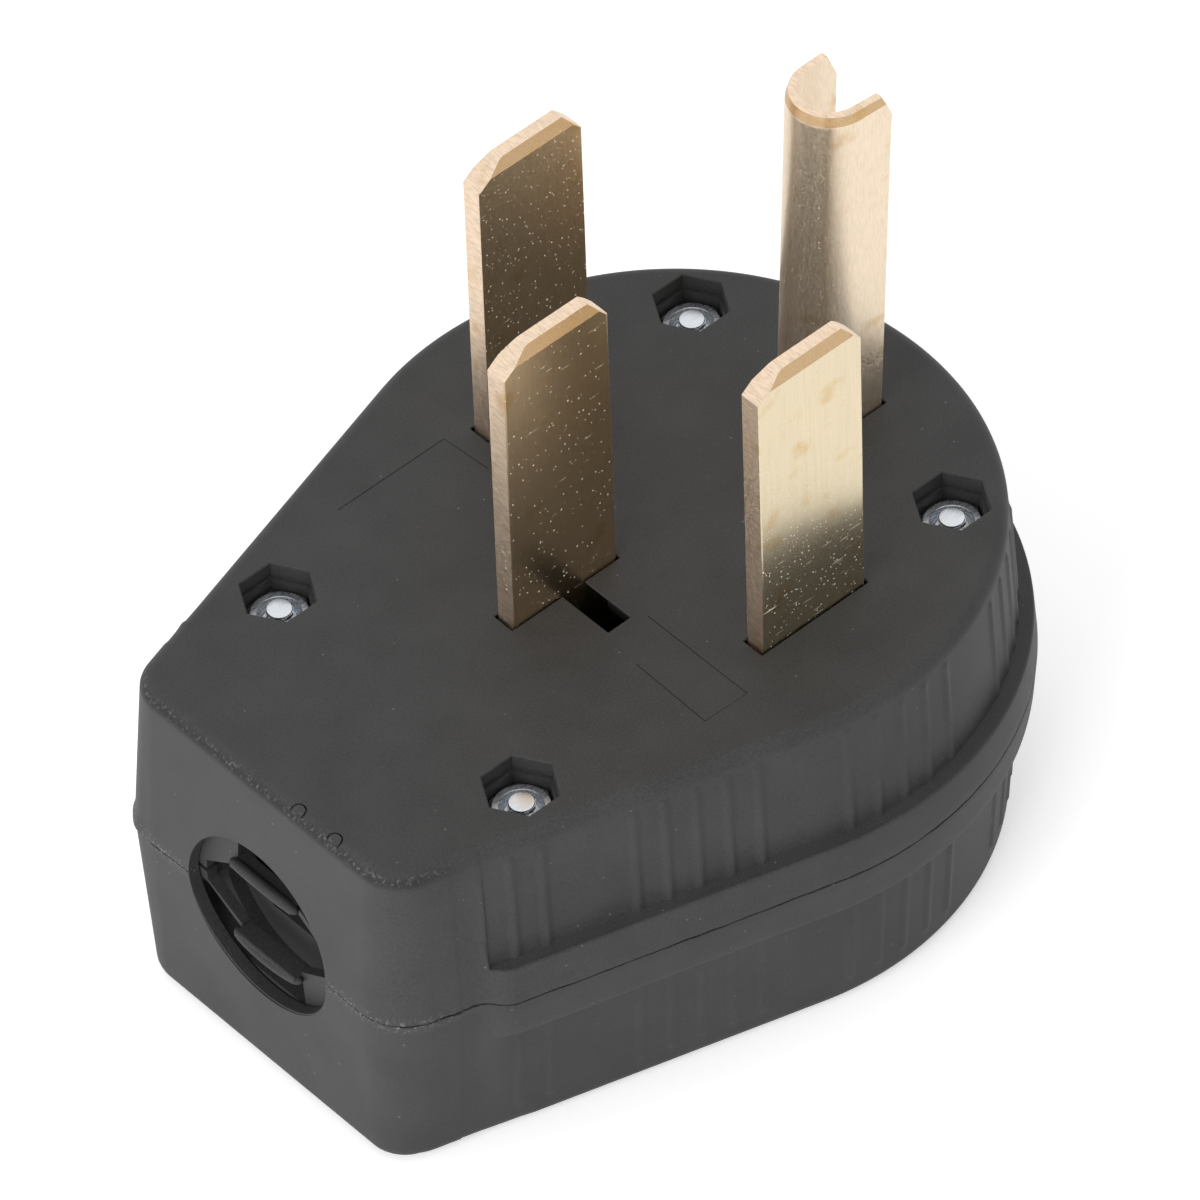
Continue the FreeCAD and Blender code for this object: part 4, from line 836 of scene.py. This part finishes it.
def nylon_material(name="spark_textured_nylon", base=None):
    """Glass-filled nylon moulded in a spark-eroded tool.

    The eye gets a satin black with a fine even grain, faint cloudiness and a few pale specks. The cord end
    has pale scuffs where the attribute scuffed says so, and painted shade, the base colour darkened to 0.45,
    on the rim's rounding where its own attribute says so.
    """
    material, tree, shader = new_material(name)
    if tree is None:
        return material
    base = base or finishes().nylon
    # The third copy, 0.45 of the base, is painted shade for the rim's rounding at the cord end.
    darker, lighter, shaded_base = (solid([c * by for c in base]) for by in (0.75, 1.3, 0.45))
    place = add_node(tree, "TexCoord", out="Object")
    # Grain of the tool, 0.25 mm across.
    grain = add_node(tree, "TexNoise", {"Vector": place, "Scale": 4000.0, "Detail": 2.0, "Roughness": 0.6})
    # Cloudy patches of the melt, 6 mm across.
    cloud = add_node(tree, "TexNoise", {"Vector": place, "Scale": 160.0, "Detail": 4.0})
    mottle = add_node(tree, "Math", (grain, 2.4, cloud), operation="MULTIPLY_ADD")
    tone = add_node(tree, "MapRange", (mottle, 1.2, 2.2, 0.0, 1.0))
    # Specks of dust and glass, one to each 2.5 mm cell and up to 0.3 mm across.
    speck = add_node(tree, "TexVoronoi", {"Vector": place, "Scale": 400.0})
    dot = add_node(tree, "MapRange", (speck, 0.03, 0.06, 0.4, 0.0))
    # Scuffs, 0.4 mm across with finer fraying, only where the attribute allows them.
    scuffed = add_node(tree, "Attribute", out="Fac", attribute_name="scuffed")
    fray = add_node(tree, "TexNoise", {"Vector": place, "Scale": 2600.0, "Detail": 3.0, "Roughness": 0.7})
    rubbed = add_node(tree, "MapRange", (fray, 0.54, 0.66, 0.0, 1.0))
    scuff = add_node(tree, "Math", (rubbed, scuffed), operation="MULTIPLY")
    pale = add_node(tree, "Math", (dot, scuff), operation="MAXIMUM")
    shade = add_node(tree, "MixRGB", (tone, darker, lighter))
    # Painted shade: where the rim's attribute says so, the colour goes to the darker copy of the base.
    rim_painted_shade = add_node(tree, "Attribute", out="Fac", attribute_name="rim_painted_shade")
    rim_shaded = add_node(tree, "MixRGB", (rim_painted_shade, shade, shaded_base))
    dusty = add_node(tree, "MixRGB", (pale, rim_shaded, solid(finishes().nylon_dust)))
    rough = add_node(tree, "MapRange", (grain, 0.3, 0.7, 0.46, 0.6))
    bump = add_node(tree, "Bump", {"Height": grain, "Strength": 0.6, "Distance": 0.03 * MM})
    wire(tree, shader, base_color=dusty, roughness=rough, normal=bump)
    shader.inputs["IOR"].default_value = 1.38
    return material


def brass_material(name="drawn_brass_strip", base=None, rough=(0.22, 0.27), grain=0.04, glint_speckle=1.0,
                   lines=(8000.0, 8000.0, 160.0), streak=0.06):
    """Brass strip, rolled and tumbled.

    The eye gets a pale gold mirror, blurred by a fine grit, with faint draw lines, a few brown stains of some
    millimetres, and small pits and short scratches that scatter the light from all sides and carry painted
    glints, a near-white colour.
    """
    material, tree, shader = new_material(name)
    if tree is None:
        return material
    base = base or finishes().brass
    brown = [(clean + dark) / 2 for clean, dark in zip(base, finishes().brass_dark)]
    place = add_node(tree, "TexCoord", out="Object")
    # Draw lines, 0.12 mm apart, by default along Z and 6 mm long.
    lines_at = add_node(tree, "Mapping", {"Vector": place, "Scale": lines})
    line = add_node(tree, "TexNoise", {"Vector": lines_at, "Scale": 1.0, "Detail": 2.0})
    # Grit of the tumbling, 0.14 mm across.
    grit = add_node(tree, "TexNoise", {"Vector": place, "Scale": 7000.0, "Detail": 1.0})
    # Pits, up to 0.2 mm across, in those 0.5 mm cells whose random colour is a pale one.
    pits = add_node(tree, "TexVoronoi", {"Vector": place, "Scale": 2000.0}, "Color")
    least = add_node(tree, "Math", (pits, -0.5, pits.node.outputs["Distance"]), operation="MULTIPLY_ADD")
    pit = add_node(tree, "MapRange", (least, -0.28, -0.24, 1.0, 0.0))
    # Scratches, 0.15 mm wide and 4 mm long, slanting across the strip. The deepest are brown.
    slanting = add_node(tree, "Mapping", {
        "Vector": place, "Rotation": (0.0, 0.5, 0.0), "Scale": (260.0, 900.0, 6500.0)})
    scratches = add_node(tree, "TexNoise", {"Vector": slanting, "Scale": 1.0, "Detail": 1.0})
    scratch = add_node(tree, "MapRange", (scratches, 0.76, 0.8, 0.0, 1.0))
    gouge = add_node(tree, "MapRange", (scratches, 0.2, 0.23, 0.8, 0.0))
    # Stains and soft waves of the rolled strip, 4 mm across.
    wave = add_node(tree, "TexNoise", {"Vector": place, "Scale": 250.0, "Detail": 4.0})
    stain = add_node(tree, "MapRange", (wave, 0.6, 0.74, 0.0, 0.8))
    marks = add_node(tree, "Math", (pit, scratch), operation="MAXIMUM")
    rolled = add_node(tree, "Bump", {"Height": wave, "Strength": 0.1, "Distance": 0.08 * MM})
    drawn = add_node(tree, "Bump", {
        "Height": line, "Strength": 0.06, "Distance": 0.01 * MM, "Normal": rolled})
    gritty = add_node(tree, "Bump", {
        "Height": grit, "Strength": grain, "Distance": 0.02 * MM, "Normal": drawn})
    blurred = add_node(tree, "MapRange", (grit, 0.4, 0.62, *rough))
    roughness = add_node(tree, "Math", (marks, 0.5, blurred), operation="MULTIPLY_ADD")
    browned = add_node(tree, "Math", (stain, gouge), operation="ADD")
    stained = add_node(tree, "MixRGB", (browned, solid(base), solid(brown)))
    # Painted glints: pits and scratches take the near-white pit colour, by the given strength.
    bright = add_node(tree, "Math", (marks, glint_speckle), operation="MULTIPLY")
    pits_glinting = add_node(tree, "MixRGB", (bright, stained, solid(finishes().brass_pit_glint)))
    streaks = add_node(tree, "MapRange", (line, 0.35, 0.6, streak, 0.0))
    streaked = add_node(tree, "MixRGB", (streaks, pits_glinting, solid(finishes().brass_streak)))
    # Pits and scratches scatter light as powder does; their near-white colour above is a painted glint.
    metal = add_node(tree, "MapRange", (bright, 0.0, 1.0, 1.0, 0.1))
    wire(tree, shader, base_color=streaked, roughness=roughness, normal=gritty, metallic=metal)
    return material


def tarnished_material():
    """The same strip, browned in the air, which gives a deeper gold with the pits standing out."""
    return brass_material("tarnished_brass_strip", finishes().brass_tarnished, rough=(0.28, 0.34))


def sheet_material():
    """Brass sheet with its skin roughened by the folding, which gives a sandy sparkle."""
    return brass_material("folded_brass_sheet", finishes().brass_sheet, rough=(0.3, 0.5), grain=0.3,
                          glint_speckle=0.4, lines=(8000.0, 8000.0, 700.0), streak=0.1)


def end_material():
    """Brass sheared and ground at the edges and ends of the strip.

    The eye gets a pinker and duller metal than on the sides, with fine marks across the strip's thickness.
    """
    return brass_material("ground_brass_end", finishes().ground_tip, rough=(0.38, 0.6), grain=0.3,
                          glint_speckle=0.5, lines=(6000.0, 900.0, 3000.0), streak=0.18)


def bevel_material():
    """Brass at the bevels of the tips: a darker, golden brown copy of the strip, rougher."""
    return brass_material("darker_brass_bevel", finishes().bevel_brown, rough=(0.3, 0.5), grain=0.2,
                          glint_speckle=0.6, lines=(6000.0, 500.0, 6000.0), streak=0.15)


def zinc_material(name="bright_zinc_plate", base=None):
    """Steel, turned and bright zinc plated, which gives a cool bright metal with fine turning marks."""
    material, tree, shader = new_material(name)
    if tree is None:
        return material
    place = add_node(tree, "TexCoord", out="Object")
    # Turning marks, 0.25 mm across and 1.5 mm long.
    turned = add_node(tree, "Mapping", {
        "Vector": place, "Rotation": (0.0, 0.0, 0.6), "Scale": (700.0, 4000.0, 4000.0)})
    grain = add_node(tree, "TexNoise", {"Vector": turned, "Scale": 1.0, "Detail": 2.0})
    rough = add_node(tree, "MapRange", (grain, 0.3, 0.7, 0.22, 0.38))
    bump = add_node(tree, "Bump", {"Height": grain, "Strength": 0.06, "Distance": 0.02 * MM})
    wire(tree, shader, roughness=rough, normal=bump)
    shader.inputs["Base Color"].default_value = solid(base or finishes().zinc)
    shader.inputs["Metallic"].default_value = 1.0
    return material


def floor_material():
    """Matt white paper. The camera and mirrors see it near white, and the object's shadow stays on it."""
    material = bpy.data.materials.new("white_paper")
    material.use_nodes = True
    tree = material.node_tree
    tree.nodes.clear()
    camera_ray = add_node(tree, "LightPath", out="Is Camera Ray")
    ways = camera_ray.node.outputs
    seen = add_node(tree, "Math", (camera_ray, ways["Is Glossy Ray"]), operation="MAXIMUM")
    seen_through = add_node(tree, "Math", (seen, ways["Is Transmission Ray"]), operation="MAXIMUM")
    paper = add_node(tree, "BsdfDiffuse", {"Color": solid(finishes().floor)})
    glow = add_node(tree, "MapRange", (camera_ray, 0.0, 1.0, 0.24, 0.42))
    lift = add_node(tree, "Emission", {"Color": WHITE, "Strength": glow})
    both = add_node(tree, "AddShader", (paper, lift))
    mix = add_node(tree, "MixShader", (seen_through, paper, both))
    add_node(tree, "OutputMaterial", (mix,))
    return material


class PLUG_OT_covers(bpy.types.Operator):
    """Builds the two covers of the housing."""

    bl_idname = "plug.covers"
    bl_label = "Covers"

    def execute(self, context):
        for up in (True, False):
            build_cover(up)
        return {"FINISHED"}


class PLUG_OT_blades(bpy.types.Operator):
    """Builds the flat blades with their ground tips."""

    bl_idname = "plug.blades"
    bl_label = "Flat blades"

    def execute(self, context):
        size = blade_sizes()
        for node, _, _, side in BLADES:
            strip = brass_material() if node == "hot_blade_right" else tarnished_material()
            mesh = grid_mesh(node, blade_surface(node, side))
            blade = add_piece(node + "_strip", mesh, strip, "brass_blade", node)
            heights, facing = read(blade.data.polygons, "center")[:, 2], read(blade.data.polygons, "normal")
            ground = (heights > FACE - MM) & ((facing[:, 2] > 0.3) | (np.abs(facing[:, 0]) > 0.8))
            bevelled = (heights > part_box(node)[1].z - size.bevel_drop) & (np.abs(facing[:, 1]) > 0.8)
            paint(blade, strip, end_material(), bevel_material(), second=ground, third=bevelled)
            smooth(blade, 15)
            weigh_normals(blade)
        return {"FINISHED"}


class PLUG_OT_ground_pin(bpy.types.Operator):
    """Builds the folded ground pin."""

    bl_idname = "plug.ground_pin"
    bl_label = "Ground pin"

    def execute(self, context):
        pin = add_piece("ground_pin_fold", grid_mesh("ground_pin_fold", pin_surface()), sheet_material(),
                        "brass_blade", "ground_pin")
        size = blade_sizes()
        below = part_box("ground_pin")[1].z - read(pin.data.polygons, "center")[:, 2]
        facing_up = read(pin.data.polygons, "normal")[:, 2]
        ground = (below < size.pin_cut_drop) & (facing_up > 0.3)
        bevelled = (below < size.pin_bevel_drop) & (facing_up > 0.15) & ~ground
        paint(pin, sheet_material(), end_material(), bevel_material(), second=ground, third=bevelled)
        smooth(pin, 12)
        return {"FINISHED"}


class PLUG_OT_fasteners(bpy.types.Operator):
    """Builds the nuts and cover screws."""

    bl_idname = "plug.fasteners"
    bl_label = "Cover screws and nuts"

    def execute(self, context):
        for number, (x, y) in enumerate(SCREW_PLACES, start=1):
            node = f"cover_nut_{number}"
            low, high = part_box(node)
            nut = add_piece(node + "_turned", grid_mesh(node, nut_surface(x, y, low.z, high.z), closed=True),
                            zinc_material(), "zinc_plated_steel", node)
            smooth(nut, 25)
            node = f"cover_screw_{number}"
            low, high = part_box(node)
            surface = screw_surface(
                x, y, low.z, high.z, radius=1.5 * MM, head=2.8 * MM, head_height=2.2 * MM, pitch=0.5 * MM)
            # The driver's slot, 1.1 mm wide and 1.3 mm deep.
            slot = block(
                (x - 4 * MM, x + 4 * MM), (y - 0.55 * MM, y + 0.55 * MM), (low.z - MM, low.z + 1.3 * MM))
            mesh = worked_mesh("screw", grid_mesh(node, surface), ("DIFFERENCE", slot))
            screw = add_piece(node + "_threaded", mesh, zinc_material(), "zinc_plated_steel", node)
            smooth(screw, 30)
        return {"FINISHED"}


class PLUG_OT_inside(bpy.types.Operator):
    """Finishes the pieces inside the housing: cord grips, terminals and the ground plate."""

    bl_idname = "plug.inside"
    bl_label = "Inside"

    def execute(self, context):
        grip = nylon_material("moulded_grip_nylon", finishes().grip)
        green = zinc_material("green_zinc_plate", finishes().green)
        for node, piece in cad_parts.items():
            if node.endswith("cord_grip"):
                dress(piece, grip)
                mesh = grid_mesh(node + "_bar", grip_bar_surface(1 if "upper" in node else -1))
                bar = add_piece(node + "_bar", mesh, grip, "moulded_grip")
                smooth(bar, 60)
            elif node == "ground_terminal_screw":
                dress(piece, green)
            elif node.endswith("clamp_plate"):
                dress(piece, zinc_material())
            elif node.endswith("terminal_screw") or node == "ground_terminal_plate":
                dress(piece, brass_material())
        return {"FINISHED"}


class PLUG_OT_stage(bpy.types.Operator):
    """Sets the floor, the lights and the camera."""

    bl_idname = "plug.stage"
    bl_label = "Stage"

    def execute(self, context):
        scene = context.scene
        floor = link("floor", bpy.data.meshes.new("floor"))
        reach, level = 3.0, BACK_LOW.z - 0.02 * MM
        corners = [(x * reach, y * reach, level) for x, y in ((-1, -1), (1, -1), (1, 1), (-1, 1))]
        floor.data.from_pydata(corners, [], [(0, 1, 2, 3)])
        dress(floor, floor_material())
        set_world(scene)
        add_lamp("key", (-1.0, -0.22, 0.34), width=0.8, power=11.0)
        add_lamp("top", (0.1, 0.1, 0.9), width=0.9, power=2.2)
        set_camera(scene)
        scene.view_settings.view_transform = "Standard"
        return {"FINISHED"}


def set_world(scene):
    """White surroundings: bright to the camera and mirrors, softer as light."""
    world = bpy.data.worlds.new("studio")
    scene.world = world
    world.use_nodes = True
    tree = world.node_tree
    tree.nodes.clear()
    camera_ray = add_node(tree, "LightPath", out="Is Camera Ray")
    seen = add_node(tree, "Math", (camera_ray, camera_ray.node.outputs["Is Glossy Ray"]), operation="MAXIMUM")
    strength = add_node(tree, "MapRange", (seen, 0.0, 1.0, 0.5, 1.0))
    glow = add_node(tree, "Background", {"Color": WHITE, "Strength": strength})
    add_node(tree, "OutputWorld", (glow,))


def add_lamp(name, place, width, power):
    """Square soft lamp that faces the object. Metal mirrors the white surroundings and not the lamp."""
    lamp = bpy.data.lights.new(name, "AREA")
    lamp.size = width
    lamp.energy = power
    holder = link(name, lamp)
    holder.location = place
    aim = Vector((0, 0, 0.04)) - Vector(place)
    holder.rotation_euler = aim.to_track_quat("-Z", "Y").to_euler()
    holder.visible_glossy = False


def set_camera(scene):
    """Long lens from the cord side and the right, above the blades, turned a little about its own axis."""
    azimuth, elevation, roll = math.radians(40.83), math.radians(46.80), math.radians(-2.12)
    aim, distance = Vector((-0.96, 10.41, 22.0)) * MM, 1386.8 * MM
    forward = Vector((math.sin(azimuth) * math.cos(elevation), math.cos(azimuth) * math.cos(elevation),
                      -math.sin(elevation)))
    level_right = forward.cross(Vector((0, 0, 1))).normalized()
    level_up = level_right.cross(forward)
    right = level_right * math.cos(roll) + level_up * math.sin(roll)
    up = right.cross(forward)
    lens = bpy.data.cameras.new("camera")
    lens.sensor_width = 36
    lens.lens = 390
    lens.clip_end = 10
    camera = link("camera", lens)
    camera.matrix_world = Matrix.Translation(aim - forward * distance) @ Matrix(
        (right, up, -forward)).transposed().to_4x4()
    scene.camera = camera


OPERATORS = (
    PLUG_OT_covers, PLUG_OT_blades, PLUG_OT_ground_pin, PLUG_OT_fasteners, PLUG_OT_inside, PLUG_OT_stage)


class PLUG_PT_panel(bpy.types.Panel):
    """Lists the pieces of the plug."""

    bl_idname = "PLUG_PT_panel"
    bl_label = "Angled plug"
    bl_space_type = "VIEW_3D"
    bl_region_type = "UI"
    bl_category = "Plug"

    def draw(self, context):
        for operator in OPERATORS:
            self.layout.operator(operator.bl_idname)
        for group in (context.scene.plug_housing, context.scene.plug_blades, context.scene.plug_colours):
            column = self.layout.column()
            for name in group.bl_rna.properties.keys():
                if name not in ("rna_type", "name"):
                    column.prop(group, name)


CLASSES = (HousingSizes, BladeSizes, PlugColours) + OPERATORS + (PLUG_PT_panel,)


def register():
    for each in CLASSES:
        bpy.utils.register_class(each)
    bpy.types.Scene.plug_housing = PointerProperty(type=HousingSizes)
    bpy.types.Scene.plug_blades = PointerProperty(type=BladeSizes)
    bpy.types.Scene.plug_colours = PointerProperty(type=PlugColours)


def unregister():
    del bpy.types.Scene.plug_colours
    del bpy.types.Scene.plug_blades
    del bpy.types.Scene.plug_housing
    for each in reversed(CLASSES):
        bpy.utils.unregister_class(each)


def main():
    register()
    for name in ("covers", "blades", "ground_pin", "fasteners", "inside", "stage"):
        getattr(bpy.ops.plug, name)()


if __name__ == "__main__":
    main()
